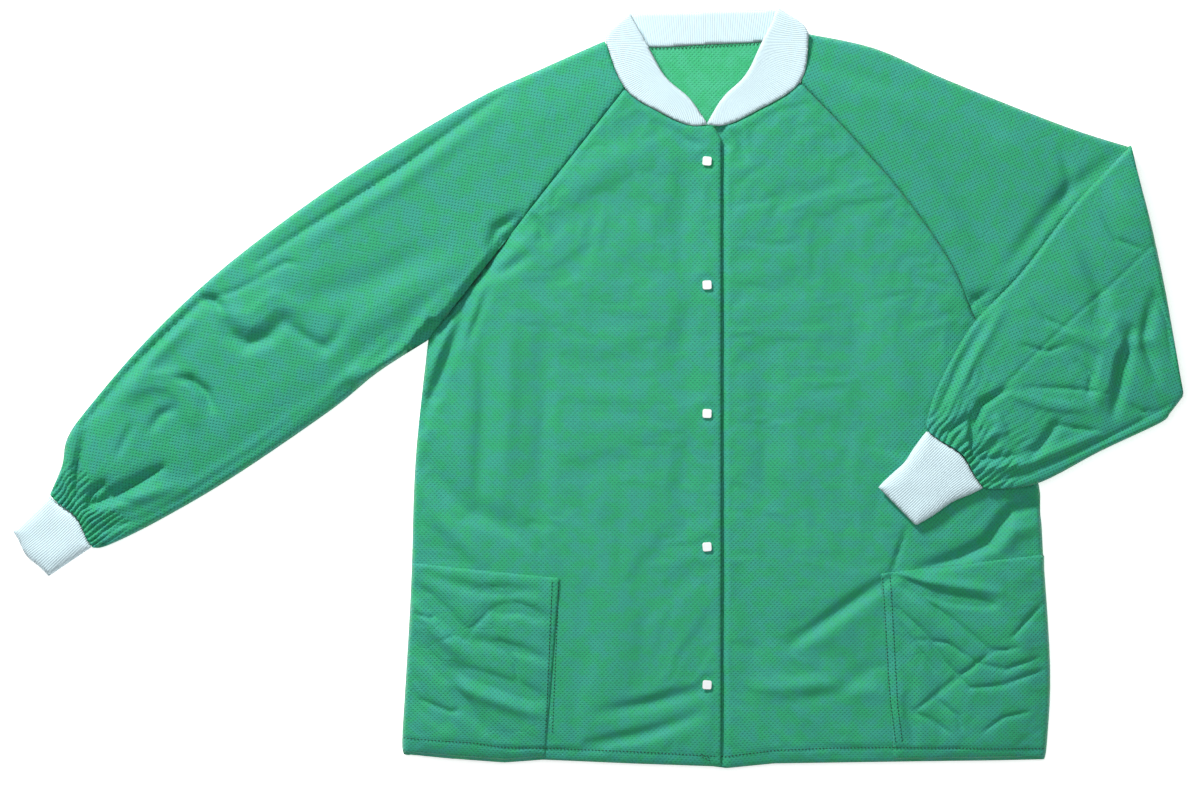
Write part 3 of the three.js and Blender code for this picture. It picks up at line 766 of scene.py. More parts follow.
def triangular(low, high, spacing):
    """Points of a triangular grid over a box."""
    rows = np.arange(low[1], high[1], spacing * ROW_SHARE)
    columns = np.arange(low[0], high[0], spacing)
    return np.array([(x + spacing / 2 * (i % 2), y) for i, y in enumerate(rows) for x in columns])


def filled(ring, spacing, dense=None):
    """Points and triangles that fill the ring. The ring's own points come first. dense is a path near
    which the points lie closer together."""
    low, high = ring.min(0), ring.max(0)
    grid = triangular(low, high, spacing)
    gap = np.full(len(grid), spacing * CLEAR_SHARE)
    if dense is not None:
        grid = grid[distance_to_path(grid, dense) > DENSE_REACH]
        near = triangular(dense.min(0) - DENSE_REACH, dense.max(0) + DENSE_REACH, DENSE)
        near = near[distance_to_path(near, dense) <= DENSE_REACH - DENSE]
        gap = np.array([spacing * CLEAR_SHARE] * len(grid) + [DENSE * CLEAR_SHARE] * len(near))
        grid = np.concatenate([grid, near])
    kept = inside(grid, ring)
    grid, gap = grid[kept], gap[kept]
    grid = grid[distance_to_path(grid, looped(ring)) > gap]
    points = np.concatenate([ring, grid])
    loop = list(range(len(ring)))
    made = delaunay_2d_cdt([Vector(p) for p in points.tolist()], [], [loop], CDT_INSIDE, CDT_LIMIT)
    return np.array([tuple(v) for v in made[0]]), made[2]


def sheet(name, ring, spacing, height, uv):
    """A single cloth over the ring at the given height."""
    xy, faces = filled(ring, spacing)
    return new_mesh(name, np.column_stack([xy, height(xy)]), faces, uv(xy))


def two_layers(xy, faces, top, bottom, start=0):
    """The points and faces of an upper and a lower cloth over the same plan points."""
    points = np.concatenate([np.column_stack([xy, top(xy)]), np.column_stack([xy, bottom(xy)])])
    count = len(xy)
    upper = [tuple(start + i for i in face) for face in faces]
    under = [tuple(start + count + i for i in face[::-1]) for face in faces]
    return points, upper + under


def tube(name, ring, spacing, top, bottom, uv, dense=None, near=WELD):
    """An upper and a lower cloth over the ring, joined wherever their heights meet."""
    xy, faces = filled(ring, spacing, dense)
    points, faces = two_layers(xy, faces, top, bottom)
    obj = new_mesh(name, points, faces, np.concatenate([uv(xy), uv(xy)]))
    weld(obj, near)
    return obj


def plan_uv(xy):
    return xy


def uv_along(direction):
    along = unit(direction)
    across = np.array([-along[1], along[0]])
    return lambda xy: np.stack([xy @ across, xy @ along], 1)


# Rays that look for a cloth start above all of them.
ABOVE_Z = 100


class Ground:
    """Finds the top of some meshes under plan points."""

    def __init__(self, *objects):
        vertices, faces = [], []
        for obj in objects:
            start = len(vertices)
            vertices += [v.co.copy() for v in obj.data.vertices]
            faces += [[start + i for i in p.vertices] for p in obj.data.polygons]
        self.tree = BVHTree.FromPolygons(vertices, faces)

    def top(self, x, y):
        place = world([(x, y, ABOVE_Z)])[0]
        start = Vector(place.tolist())
        place = self.tree.ray_cast(start, Vector((0, 0, -1)))[0]
        if place is None:
            place = self.tree.find_nearest(Vector((start.x, start.y, EDGE_Z * MM)))[0]
        return place.z / MM

    def tops(self, xy):
        return np.array([self.top(x, y) for x, y in xy.tolist()])


# The short cloth simulation: how much the cloth grows, for how many frames, how near its edges it is
# held, and how far down and up it may move.
GROWTH = 0.004
GROWTH_FRAMES = 10
HELD_REACH = 5
LOWEST_MOVE = -0.8
HIGHEST_MOVE = 0.5
CLOTH_SETTINGS = {
    "vertex_group_mass": "held",
    "quality": 4,
    "mass": 0.05,
    "tension_stiffness": 12,
    "compression_stiffness": 12,
    "shear_stiffness": 4,
    "bending_stiffness": 0.08,
    "air_damping": 6,
    "shrink_min": -GROWTH,
}


def relax(obj, held):
    """Lets the cloth grow a little and buckle by simulation, held where `held` says."""
    mesh = obj.data
    before = coordinates(mesh)
    plan = before / MM - np.array([CENTRE_X, HEM_Y, 0]) / MM
    group = obj.vertex_groups.new(name="held")
    group.add([int(i) for i in np.flatnonzero(held(plan))], 1.0, "REPLACE")
    modifier = obj.modifiers.new("cloth", "CLOTH")
    for key, value in CLOTH_SETTINGS.items():
        setattr(modifier.settings, key, value)
    modifier.settings.effector_weights.gravity = 0
    modifier.collision_settings.use_collision = False
    modifier.collision_settings.use_self_collision = False
    modifier.point_cache.frame_start = 1
    modifier.point_cache.frame_end = GROWTH_FRAMES
    for step in range(1, GROWTH_FRAMES + 1):
        bpy.context.scene.frame_set(step)
    evaluated = obj.evaluated_get(bpy.context.evaluated_depsgraph_get())
    after = coordinates(evaluated.data)
    obj.modifiers.clear()
    obj.vertex_groups.clear()
    bpy.context.scene.frame_set(1)
    move = np.nan_to_num(after - before)
    move[:, 2] = np.clip(move[:, 2], LOWEST_MOVE * MM, HIGHEST_MOVE * MM)
    move[:, :2] = np.clip(move[:, :2], -MM, MM)
    mesh.vertices.foreach_set("co", (before + move).ravel())
    mesh.update()


# ---- Edges of the pieces ----


class Front:
    """The edges of one front. Sign is -1 on the wearer's right and 1 on the left."""

    def __init__(self, name, sign):
        ring = ring_of([f"{name}_front_side", f"{name}_front_flap"], (0, 1))
        # The hem's outer end, the underarm, the raglan seam's top, the lap's top and the hem's inner end.
        ways = [(sign, -1), (sign, 0.5), (0, 1), (-sign, 1), (-sign, -1)]
        corners = [farthest(ring, way) for way in ways]
        pairs = [(corners[i - 1], corners[i]) for i in range(len(corners))]
        paths = [walk(ring, *(pair if sign > 0 else pair[::-1])) for pair in pairs]
        self.ring, _ = closed(paths if sign > 0 else paths[::-1], FINE)
        self.hem, self.side, self.raglan, self.neck, self.placket = paths
        self.underarm = corners[1]


right_front = Front("right", -1)
left_front = Front("left", 1)

# ---- Heights ----

# The loft behind an edge, how strongly the folds show, how soon wrinkles fade in from an edge, the
# sag towards the hem, where the left front comes out from under the right one, and the hem's stitches.
SIDE_ROUND = 6
SIDE_REACH = 70
RELIEF = 2.0
FRONT_FADE = 1.6
HEM_SAG = 5
HEM_ROUND = 55
LAP_START = 15.5
LAP_END = 23
HEM_STITCH = [
    (-323, 20), (-249, 20), (-172, 13), (-80, 13), (6, 11), (35, 13), (130, 16), (195, 16), (360, 12),
]
# The armhole's crease: its path, its depth, its width on the front and on the sleeve, and its floor.
ARMHOLE_FOLD = [(-198, 574), (-216, 556), (-232, 534), (-258, 502), (-292, 458), (-303, 436)]
ARMHOLE_DEPTH = 11
FRONT_DROP_WIDTH = 11
SLEEVE_DROP_WIDTH = 3
ARMHOLE_FLOOR_Z = 2.6
# The underarm's gap, the lip of cloth over it, how high and wide the lip stands, and the gap's floor.
UNDERARM_GAP = np.array([
    (-356, 414), (-322, 436), (-294, 471), (-276, 474), (-284, 440), (-296, 410), (-320, 402),
])
UNDERARM_LIP = [(-372, 410), (-350, 420), (-322, 440), (-294, 474), (-272, 492)]
UNDERARM_LIFT = 6
UNDERARM_LIP_WIDTH = 9
UNDERARM_GAP_EDGE = 3
UNDERARM_FLOOR_Z = 1.6
# How far a sleeve's upper cloth stays above its lower one.
SLEEVE_GAP = 0.9
# The ring of pulled cloth round a snap, and the turned edge of the placket: depths and widths.
SNAP_DIMPLE = 7
SNAP_DIMPLE_DEPTH = 0.9
SNAP_DIMPLE_WIDTH = 4
PLACKET_EDGE_DEPTH = 0.6
PLACKET_EDGE_WIDTH = 1.2
# A seam's groove: its depth and width.
SEAM_GROOVE = (1.4, 2.6)
HEM_GROOVE = (0.7, 2.2)
FOREARM_GROOVE = (1.2, 2.0)
PUCKER_REACH = 7
PUCKER_PITCH = 8
PUCKER_HEIGHT = 0.7
# Layers of noise, as `layered` takes them.
FRONT_NOISE = ((0.45, 75, 0), (0.3, 17, 5, (1, 2.5)))
LAP_NOISE = ((0.2, 30, 4.4),)
BACK_NOISE = ((0.2, 45, 8.1),)
RIGHT_SLEEVE_NOISE = ((0.7, 70, 21.5, (1, 2), -35), (0.3, 20, 23.5, (1, 2.2), -35))
LEFT_UPPER_NOISE = ((0.5, 60, 41.5), (0.25, 21, 43.5))
FOREARM_NOISE = ((0.9, 48, 51.5),)
FOREARM_CREASES = ((0.5, 34, 53.5, (1, 1.6), 20), (-0.3, 26, 55.5, (1, 2), 70))
BAND_NOISE = ((0.25, 30, 61.0),)
BACK_BAND_NOISE = ((0.25, 30, 63.0),)
CUFF_NOISE = ((0.9, 26, 71.0),)
POCKET_NOISE = ((0.8, 42, 0),)
POCKET_CREASES = ((0.5, 40, 2, (1, 1.7), 35), (-0.35, 30, 4, (1, 2), -30))
RIGHT_FRONT_SEED = 3.7
LEFT_FRONT_SEED = 11.2
RIGHT_GATHER_SEED = 31.2
LEFT_GATHER_SEED = 57.2
RIGHT_POCKET_SEED = 81.3
LEFT_POCKET_SEED = 83.3


def bell(distance, width):
    """1 at no distance, fading to 0 over about twice the width."""
    return np.exp(-((distance / width) ** 2))


def seam_groove(xy, path, size=SEAM_GROOVE):
    depth, width = size
    return depth * bell(distance_to_path(xy, path), width)


def puckers(xy, path, seed):
    """Small ripples across a seam."""
    near = np.exp(-distance_to_path(xy, path) / PUCKER_REACH)
    return PUCKER_HEIGHT * near * crumple(xy, PUCKER_PITCH, seed)


def front_height(front, table, seed):
    """The height of a front: round at its side, sagging at its hem, puckered at its seams."""

    def height(xy):
        side = loft(distance_to_path(xy, front.side), SIDE_ROUND, SIDE_REACH)
        z = EDGE_Z + (FRONT_Z - EDGE_Z) * side
        z -= HEM_SAG * (1 - rise(xy[:, 1], HEM_ROUND)) * side
        wrinkle = RELIEF * folds(xy, table) + layered(xy, FRONT_NOISE, seed)
        z += wrinkle * np.minimum(side * FRONT_FADE, 1)
        z -= seam_groove(xy, HEM_STITCH, HEM_GROOVE)
        z += puckers(xy, front.raglan, seed + 2) + puckers(xy, front.neck, seed + 3)
        z -= seam_groove(xy, front.raglan) + seam_groove(xy, front.neck)
        return z

    return height


def armhole_drop(xy, width):
    """How far the cloth sinks along the armhole, where the sleeve's lip hangs over the front."""
    return fold(xy, ARMHOLE_FOLD, width, ARMHOLE_DEPTH)


def right_front_height(xy):
    z = front_height(right_front, RIGHT_FRONT_FOLDS, RIGHT_FRONT_SEED)(xy)
    z = np.maximum(z - armhole_drop(xy, FRONT_DROP_WIDTH), ARMHOLE_FLOOR_Z)
    for centre in snap_centres():
        gap = np.linalg.norm(xy - centre, axis=1)
        z -= SNAP_DIMPLE_DEPTH * bell(gap - SNAP_DIMPLE, SNAP_DIMPLE_WIDTH)
    return z - PLACKET_EDGE_DEPTH * bell(distance_to_path(xy, right_front.placket), PLACKET_EDGE_WIDTH)


def snap_centres():
    boxes = [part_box(name) for name in frame["nodes"] if name.startswith("snap_cap_")]
    middles = [(low + high) / 2 for low, high in boxes]
    return [np.array([(m.x - CENTRE_X) / MM, (m.y - HEM_Y) / MM]) for m in middles]


def left_front_height(xy):
    z = front_height(left_front, LEFT_FRONT_FOLDS, LEFT_FRONT_SEED)(xy)
    share = smoothstep(LAP_START, LAP_END, xy[:, 0])
    lap = np.minimum(LAP_Z + layered(xy, LAP_NOISE), z)
    return lap + (z - lap) * share


# How wide the back panel turns up at its sides, and how far under the fronts' edges it ends.
BACK_ROUND = 9
BACK_DROP = 0.6


def back_height(xy):
    d = np.minimum(distance_to_path(xy, right_front.side), distance_to_path(xy, left_front.side))
    edge = EDGE_Z - BACK_DROP
    return BACK_Z + (edge - BACK_Z) * (1 - rise(d, BACK_ROUND)) + layered(xy, BACK_NOISE)


# ---- Cloth pieces ----


def finish_cloth(obj, material, replaced):
    thicken(obj, CLOTH)
    obj.data.materials.clear()
    obj.data.materials.append(material)
    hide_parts(*replaced)


def area_of(ring):
    return abs(turns_left(ring)) / 2 * MM * MM


def size_of(ring):
    span = (ring.max(0) - ring.min(0)) * MM
    return float(span[0]), float(span[1])


# A distance from a hinge line, in millimetres, that blend_across measures out; nothing bends the cloth by
# it.
HINGE_BLEND = 12


def blend_flap(obj):
    """Bakes the object's placement into its mesh; the cloth is not bent."""
    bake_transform(obj)


BACK_SPACING = EVEN * 1.4


def make_back():
    ring = evened(ring_of(["back_panel"], (0, 1)), EVEN)
    obj = sheet("back_cloth", ring, BACK_SPACING, back_height, plan_uv)
    finish_cloth(obj, back_cloth, ["back_panel"])
    area_of(ring)
    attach(obj, "root")
    return obj


def make_front(side, front, height):
    obj = sheet(f"{side}_front_cloth", front.ring, EVEN, height, plan_uv)
    edges = [front.side, front.raglan, front.neck, front.placket, front.hem]
    relax(obj, lambda plan: nearest_path(plan[:, :2], edges) < HELD_REACH)
    return obj


def nearest_path(xy, paths):
    """Each point's distance to the nearest of the paths."""
    return np.min([distance_to_path(xy, path) for path in paths], axis=0)


def close_front(obj, side, front):
    nodes = [f"{side}_front_side", f"{side}_front_flap"]
    finish_cloth(obj, body_cloth, nodes)
    size_of(front.ring)
    area_of(front.ring)
    blend_flap(obj)


class Tube:
    """A flattened sleeve: its ring, the paths between its corners, and its long edges. dense is the
    number of its gathered path."""

    def __init__(self, nodes, along, long_edges, corners_of, dense=None):
        ring = ring_of(nodes, along)
        self.corners = corners_of(ring)
        pairs = zip(self.corners, self.corners[1:] + self.corners[:1])
        self.paths = [walk(ring, a, b) for a, b in pairs]
        self.ring, self.parts = closed(self.paths, EVEN, dense)
        self.edges = [self.paths[i] for i in long_edges]


# The direction in which each piece runs.
BAND_RUN = (0.6, 0.8)
RIGHT_SLEEVE_RUN = (-0.82, -0.57)
LEFT_UPPER_RUN = (0.85, -0.3)
LEFT_SLEEVE_RUN = (0.9, -0.35)
FOREARM_RUN = (-0.8, -0.6)
CUFF_RUN = (-0.72, -0.69)

right_sleeve = Tube(
    ["right_sleeve_upper", "right_sleeve_lower"],
    RIGHT_SLEEVE_RUN,
    (0, 2),
    lambda ring: [
        farthest(ring, (0, 1)),
        farthest(ring, (-1, 0)),
        farthest(ring, (0, -1)),
        nearest(ring, right_front.underarm),
        farthest(ring, (1, 0)),
    ],
    dense=1,
)
left_upper = Tube(
    ["left_sleeve_upper"],
    LEFT_UPPER_RUN,
    (4, 2),
    lambda ring: [
        farthest(ring, (0, 1)),
        farthest(ring, (-1, 0)),
        nearest(ring, left_front.underarm),
        farthest(ring, (1, 0)),
        nearest(ring, farthest(ring_of(["left_sleeve_lower"], FOREARM_RUN), (0, 1))),
    ],
)
forearm = Tube(
    ["left_sleeve_lower"],
    FOREARM_RUN,
    (0, 2),
    lambda ring: [
        farthest(ring, (0, 1)),
        farthest(ring, (-1, 0)),
        farthest(ring, (0, -1)),
        nearest(ring, left_upper.corners[3]),
    ],
    dense=1,
)

SLEEVE_REACH = 60
# How soon a sleeve's wrinkles, its gap and its seam fade in from its edges.
SLEEVE_FADE = 1.5
GAP_FADE = 4
SEAM_FADE = 2
# How far the wrist is drawn in by its gathers.
DRAWN_IN = 2.5
RIGHT_DRAWN_REACH = 30
LEFT_DRAWN_REACH = 26
SLEEVE_SINK = 1.2
SLEEVE_FLOOR_Z = 1.2

# Gathers: how far they run up, how many there are, their height, how they close up away from the
# wrist, and layers of noise for where they lie, how long they are and how deep.
GATHER_RUN = 36
GATHER_COUNT = 15
GATHER_HEIGHT = 2.8
GATHER_MIDDLE = 1.2
GATHER_POWER = 1.3
GATHER_SHORTEST = 8
GATHER_CLOSING = 260
GATHER_CLOSED = 0.45
GATHER_PLACES = ((4.5, 26, 0),)
GATHER_LENGTHS = ((0.9, 18, 1),)
GATHER_DEPTHS = ((0.8, 14, 2),)


def gathers(xy, wrist, seed):
    """Small folds that run up the sleeve from its gathered wrist edge."""
    start, end = wrist[0], wrist[-1]
    width = np.linalg.norm(end - start)
    share = ((xy - start) @ ((end - start) / width)) / width
    gap = distance_to_path(xy, wrist)
    centre = 0.5 + (share - 0.5) * (1 - np.clip(gap / GATHER_CLOSING, 0, GATHER_CLOSED))
    phase = centre * GATHER_COUNT * 2 * np.pi + layered(xy, GATHER_PLACES, seed)
    run = np.maximum(GATHER_RUN * (1 + layered(xy, GATHER_LENGTHS, seed)), GATHER_SHORTEST)
    depth = np.exp(-((gap / run) ** GATHER_POWER)) * (1 + layered(xy, GATHER_DEPTHS, seed))
    return GATHER_HEIGHT * depth * (np.abs(np.sin(phase / 2)) * 2 - GATHER_MIDDLE)


def under_height(tube_of, floor, edge, width):
    """The height of a sleeve's lower cloth, which turns up at its long edges."""
    return lambda xy: floor + (edge - floor) * (1 - rise(nearest_path(xy, tube_of.edges), width))


# The sleeves' lower cloths, the upper arm under the forearm, the elbow fold and the forearm.
UNDER_ROUND = 10
FOREARM_UNDER_ROUND = 12
ARM_TOP_Z = 10.2
UPPER_FLOOR_Z = 1.0
UPPER_LIMIT_Z = 14.3
COVERED_LIMIT_Z = 11
COVERED_CALM = 0.6
FOLD_REACH = 90
# Between these heights the folded sleeve turns from the upper arm into the forearm.
FOREARM_EDGE_Z = 18.5
FOREARM_FLOOR_Z = 16.4
FOREARM_SINK = 1.5
FOREARM_RELIEF = 2.7
FOREARM_SEAM = [
    (475, 554), (428, 509), (391, 477), (355, 443), (331, 419), (304, 390), (283, 374), (275, 326),
]

right_sleeve_bottom = under_height(right_sleeve, BACK_Z, EDGE_Z, UNDER_ROUND)
left_upper_bottom = under_height(left_upper, BACK_Z, EDGE_Z, UNDER_ROUND)
forearm_bottom = under_height(forearm, FOREARM_FLOOR_Z, FOREARM_EDGE_Z, FOREARM_UNDER_ROUND)


def sleeve_body(xy, tube_of):
    """How full a sleeve is: 0 at its long edges and 1 in its middle."""
    return loft(nearest_path(xy, tube_of.edges), SIDE_ROUND, SLEEVE_REACH)


def above(bottom, xy, z, body):
    """The height z, kept above the lower cloth except at the edges, where the two meet."""
    return np.maximum(z, bottom(xy) + SLEEVE_GAP * np.minimum(body * GAP_FADE, 1))


def right_sleeve_top(xy):
    wrist = right_sleeve.paths[1]
    body = sleeve_body(xy, right_sleeve)
    wrinkle = RELIEF * folds(xy, RIGHT_SLEEVE_FOLDS) + layered(xy, RIGHT_SLEEVE_NOISE)
    wrinkle += gathers(xy, wrist, RIGHT_GATHER_SEED)
    z = EDGE_Z + (FRONT_Z - SLEEVE_SINK - EDGE_Z) * body + wrinkle * np.minimum(body * SLEEVE_FADE, 1)
    lip = distance_to_path(xy, UNDERARM_LIP)
    gap = inside(xy, UNDERARM_GAP) * smoothstep(0, UNDERARM_GAP_EDGE, lip)
    z += UNDERARM_LIFT * bell(lip, UNDERARM_LIP_WIDTH) * (1 - gap)
    z -= gap * (z - UNDERARM_FLOOR_Z)
    z -= seam_groove(xy, right_front.raglan) + armhole_drop(xy, SLEEVE_DROP_WIDTH)
    z -= DRAWN_IN * bell(distance_to_path(xy, wrist), RIGHT_DRAWN_REACH) * body
    return above(right_sleeve_bottom, xy, np.clip(z, SLEEVE_FLOOR_Z, FRONT_Z + SLEEVE_SINK), body)


def left_upper_top(xy):
    body = sleeve_body(xy, left_upper)
    near_fold = bell(distance_to_path(xy, left_upper.paths[3]), FOLD_REACH)
    high = FRONT_Z - (FRONT_Z - ARM_TOP_Z) * near_fold
    covered = inside(xy, forearm.ring).astype(float)
    wrinkle = RELIEF * folds(xy, LEFT_UPPER_FOLDS) + layered(xy, LEFT_UPPER_NOISE)
    z = EDGE_Z + (high - EDGE_Z) * body + wrinkle * body * (1 - COVERED_CALM * covered)
    z -= seam_groove(xy, left_front.raglan)
    limit = UPPER_LIMIT_Z - (UPPER_LIMIT_Z - COVERED_LIMIT_Z) * covered
    return above(left_upper_bottom, xy, np.clip(z, UPPER_FLOOR_Z, limit), body)


def forearm_top(xy):
    wrist = forearm.paths[1]
    body = sleeve_body(xy, forearm)
    wrinkle = FOREARM_RELIEF * folds(xy, FOREARM_FOLDS) + layered(xy, FOREARM_NOISE)
    wrinkle += layered(xy, FOREARM_CREASES, kind=ridges) + gathers(xy, wrist, LEFT_GATHER_SEED)
    z = FOREARM_EDGE_Z + (FOREARM_HIGH_Z - FOREARM_SINK - FOREARM_EDGE_Z) * body + wrinkle * body
    z -= seam_groove(xy, FOREARM_SEAM, FOREARM_GROOVE) * np.minimum(body * SEAM_FADE, 1)
    z -= DRAWN_IN * bell(distance_to_path(xy, wrist), LEFT_DRAWN_REACH) * body
    return above(forearm_bottom, xy, np.clip(z, FOREARM_FLOOR_Z, FOREARM_HIGH_Z + FOREARM_SINK), body)


# The turn of cloth up the fold line: its rows, its roundness, how far its outer and inner layer stand
# out, and how near points are joined.
BRIDGE_ROWS = 6
BRIDGE_POWER = 0.7
OUTER_BULGE = 5.0
INNER_BULGE = 1.6
FOLD_WELD = 0.3


def bridge(line, low, high, bulge, outward, start):
    """A round turn of cloth up the fold line, from the low heights to the high ones."""
    count = len(line)
    fade = np.sin(np.pi * np.linspace(0, 1, count))
    rows = []
    for row in range(BRIDGE_ROWS + 1):
        t = row / BRIDGE_ROWS
        out = bulge * math.sin(math.pi * t) ** BRIDGE_POWER * fade
        rows.append(np.column_stack([line + out[:, None] * outward, low + (high - low) * t]))
    return np.concatenate(rows), [tuple(f) for f in grid_faces(BRIDGE_ROWS + 1, count, start)]


def make_left_sleeve():
    """The folded sleeve: upper arm, elbow fold and forearm in one cloth."""
    arm_xy, arm_faces = filled(left_upper.ring, EVEN)
    fore_xy, fore_faces = filled(forearm.ring, FINE, forearm.paths[1])
    points, faces = two_layers(arm_xy, arm_faces, left_upper_top, left_upper_bottom)
    more, more_faces = two_layers(fore_xy, fore_faces, forearm_bottom, forearm_top, len(points))
    points = np.concatenate([points, more])
    faces += [face[::-1] for face in more_faces]
    line = left_upper.parts[3]
    _, direction = joint_plan("left_forearm_unfold")
    outward = np.array([direction[1], -direction[0]])
    for low_of, high_of, bulge in (
        (left_upper_bottom, forearm_top, OUTER_BULGE),
        (left_upper_top, forearm_bottom, INNER_BULGE),
    ):
        rows, row_faces = bridge(line, low_of(line), high_of(line), bulge, outward, len(points))
        points = np.concatenate([points, rows])
        faces += row_faces
    uv = uv_along(LEFT_SLEEVE_RUN)(points[:, :2])
    obj = new_mesh("left_sleeve_cloth", points, faces, uv)
    weld(obj, FOLD_WELD)
    return obj


def make_right_sleeve():
    return tube(
        "right_sleeve_cloth",
        right_sleeve.ring,
        EVEN,
        right_sleeve_top,
        right_sleeve_bottom,
        uv_along(RIGHT_SLEEVE_RUN),
        right_sleeve.paths[1],
    )


def blend_across(obj, joint_name):
    point, direction = joint_plan(joint_name)
    across = np.array([direction[1], -direction[0]])
    away = Vector((across[0], across[1], 0)) * HINGE_BLEND * MM
    far = right_sleeve.corners[1]
    if (far - point) @ across < 0:
        away = -away
    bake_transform(obj)


def close_sleeves(right, left):
    area = 2 * area_of(right_sleeve.ring)
    nodes = ["right_sleeve_upper", "right_sleeve_lower"]
    finish_cloth(right, sleeve_cloth, nodes)
    blend_across(right, "right_forearm_fold")
    area = 2 * (area_of(left_upper.ring) + area_of(forearm.ring))
    nodes = ["left_sleeve_upper", "left_sleeve_lower"]
    finish_cloth(left, sleeve_cloth, nodes)
    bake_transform(left)


# ---- Knit pieces ----

KNIT_WELD = 0.02
# How far in from its edge a band, a cuff and a pocket stay round.
BAND_ROUND = 5
CUFF_ROUND = 16
POCKET_ROUND = 24
# The heights of the knit pieces' undersides and tops.
FRONT_BAND_LEVELS = (12.6, 15.0)
BACK_BAND_LEVELS = (0.3, 2.4)
RIGHT_CUFF_LEVELS = (0.5, 10.5)
LEFT_CUFF_LEVELS = (15.2, 24.5)
# The back band climbs at its ends to meet the front ones.
BACK_BAND_LIFT = 9.6
BACK_BAND_CLIMB = 24
# The ribs fan out from these centres: place, radius and which way is up.
FRONT_BAND_FAN = ((0, 765), 100, -1)
BACK_BAND_FAN = ((0, 400), 370, 1)


def pillow(name, ring, low, high, edge, uv):
    """A closed knit piece with round edges."""

    def limit(reach):
        def height(xy):
            middle = (low(xy) + high(xy)) / 2
            return middle + (reach(xy) - middle) * rise(distance_to_path(xy, looped(ring)), edge)

        return height

    return tube(name, ring, FINE, limit(high), limit(low), uv, near=KNIT_WELD)


def close_knit(obj, material, nodes, ring):
    obj.data.materials.append(material)
    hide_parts(*nodes)
    area_of(ring)


def band_uv(centre, radius, upward):
    """Ribs that fan out from a centre, spaced as on the given radius."""

    def uv(xy):
        away = xy - np.array(centre)
        turn = np.arctan2(away[:, 0], upward * away[:, 1])
        reach = np.linalg.norm(away, axis=1)
        return np.stack([turn * radius, reach], 1)

    return uv


def make_bands():
    low_z, high_z = FRONT_BAND_LEVELS
    for side, sign in (("right", -1), ("left", 1)):
        nodes = [f"collar_{side}_front", f"collar_{side}_side"]
        ring = evened(ring_of(nodes, (sign * BAND_RUN[0], BAND_RUN[1])))
        obj = pillow(
            f"{side}_band_knit",
            ring,
            lambda xy: np.full(len(xy), low_z),
            lambda xy: high_z + layered(xy, BAND_NOISE),
            BAND_ROUND,
            band_uv(*FRONT_BAND_FAN),
        )
        close_knit(obj, band_knit, nodes, ring)
        blend_flap(obj)
    ring = ring_of(["collar_back"], (1, 0))
    first, last = ring[:, 0].min(), ring[:, 0].max()
    ring = evened(ring)
    under_z, top_z = BACK_BAND_LEVELS

    def lift(xy):
        gap = np.minimum(xy[:, 0] - first, last - xy[:, 0])
        return BACK_BAND_LIFT * (1 - rise(gap, BACK_BAND_CLIMB))

    obj = pillow(
        "back_band_knit",
        ring,
        lambda xy: under_z + lift(xy),
        lambda xy: top_z + lift(xy) + layered(xy, BACK_BAND_NOISE),
        BAND_ROUND,
        band_uv(*BACK_BAND_FAN),
    )
    close_knit(obj, band_knit, ["collar_back"], ring)
    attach(obj, "root")


def make_cuff(side, levels, body):
    low, high = levels
    ring = evened(ring_of([f"{side}_cuff"], FOREARM_RUN))
    obj = pillow(
        f"{side}_cuff_knit",
        ring,
        lambda xy: np.full(len(xy), low),
        lambda xy: high + layered(xy, CUFF_NOISE),
        CUFF_ROUND,
        uv_along(CUFF_RUN),
    )
    close_knit(obj, cuff_knit, [f"{side}_cuff"], ring)
    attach(obj, body)


# A pocket's cloth: its mesh spacing, the strength of its folds, its clearance over the front, its
# loft, and the lowest and highest that its wrinkles may take it.
POCKET_SPACING = 2.2
POCKET_RELIEF = 3.0
POCKET_CLEARANCE = 0.7
POCKET_LOFT = 2.6
POCKET_RANGE = (0.1, 7)


def make_pocket(side, ground, table, seed):
    ring = evened(ring_of([f"{side}_pocket"], (0, 1)))

    def height(xy):
        full = rise(distance_to_path(xy, looped(ring)), POCKET_ROUND)
        wrinkle = POCKET_RELIEF * folds(xy, table) + layered(xy, POCKET_NOISE, seed)
        wrinkle += layered(xy, POCKET_CREASES, seed, ridges)
        return ground.tops(xy) + POCKET_CLEARANCE + full * np.clip(POCKET_LOFT + wrinkle, *POCKET_RANGE)

    obj = sheet(f"{side}_pocket_cloth", ring, POCKET_SPACING, height, plan_uv)
    finish_cloth(obj, pocket_cloth, [f"{side}_pocket"])
    area_of(ring)
    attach(obj, "root")
    return obj


# ---- Stitches ----

THREAD_RADIUS = 0.52
OVERLOCK_RADIUS = 0.75
STITCH_SIDES = 6
STITCH_TAPER = 0.35
# A running stitch: its length, the gap to the next one, how far it sinks in and how it arches.
STITCH_LENGTH = 2.6
STITCH_SPACE = 1.1
STITCH_SINK = 0.12
STITCH_START = 0.5
STITCH_ARCH = (-0.6, 1, 1, -0.6)
# An overlock stitch: its pitch, its reach to each side and how high it lies.
OVERLOCK_PITCH = 2.0
OVERLOCK_REACH = 2.0
OVERLOCK_RISE = 0.7
# The hem's stitches: how near together their path's points lie, and how far from the placket they end.
HEM_STITCH_STEP = 2
HEM_STITCH_MARGIN = 1
NECK_SEAM = [(-66, 760.5), (-30, 761.5), (0, 762.5), (35, 764.5), (66, 766.5)]


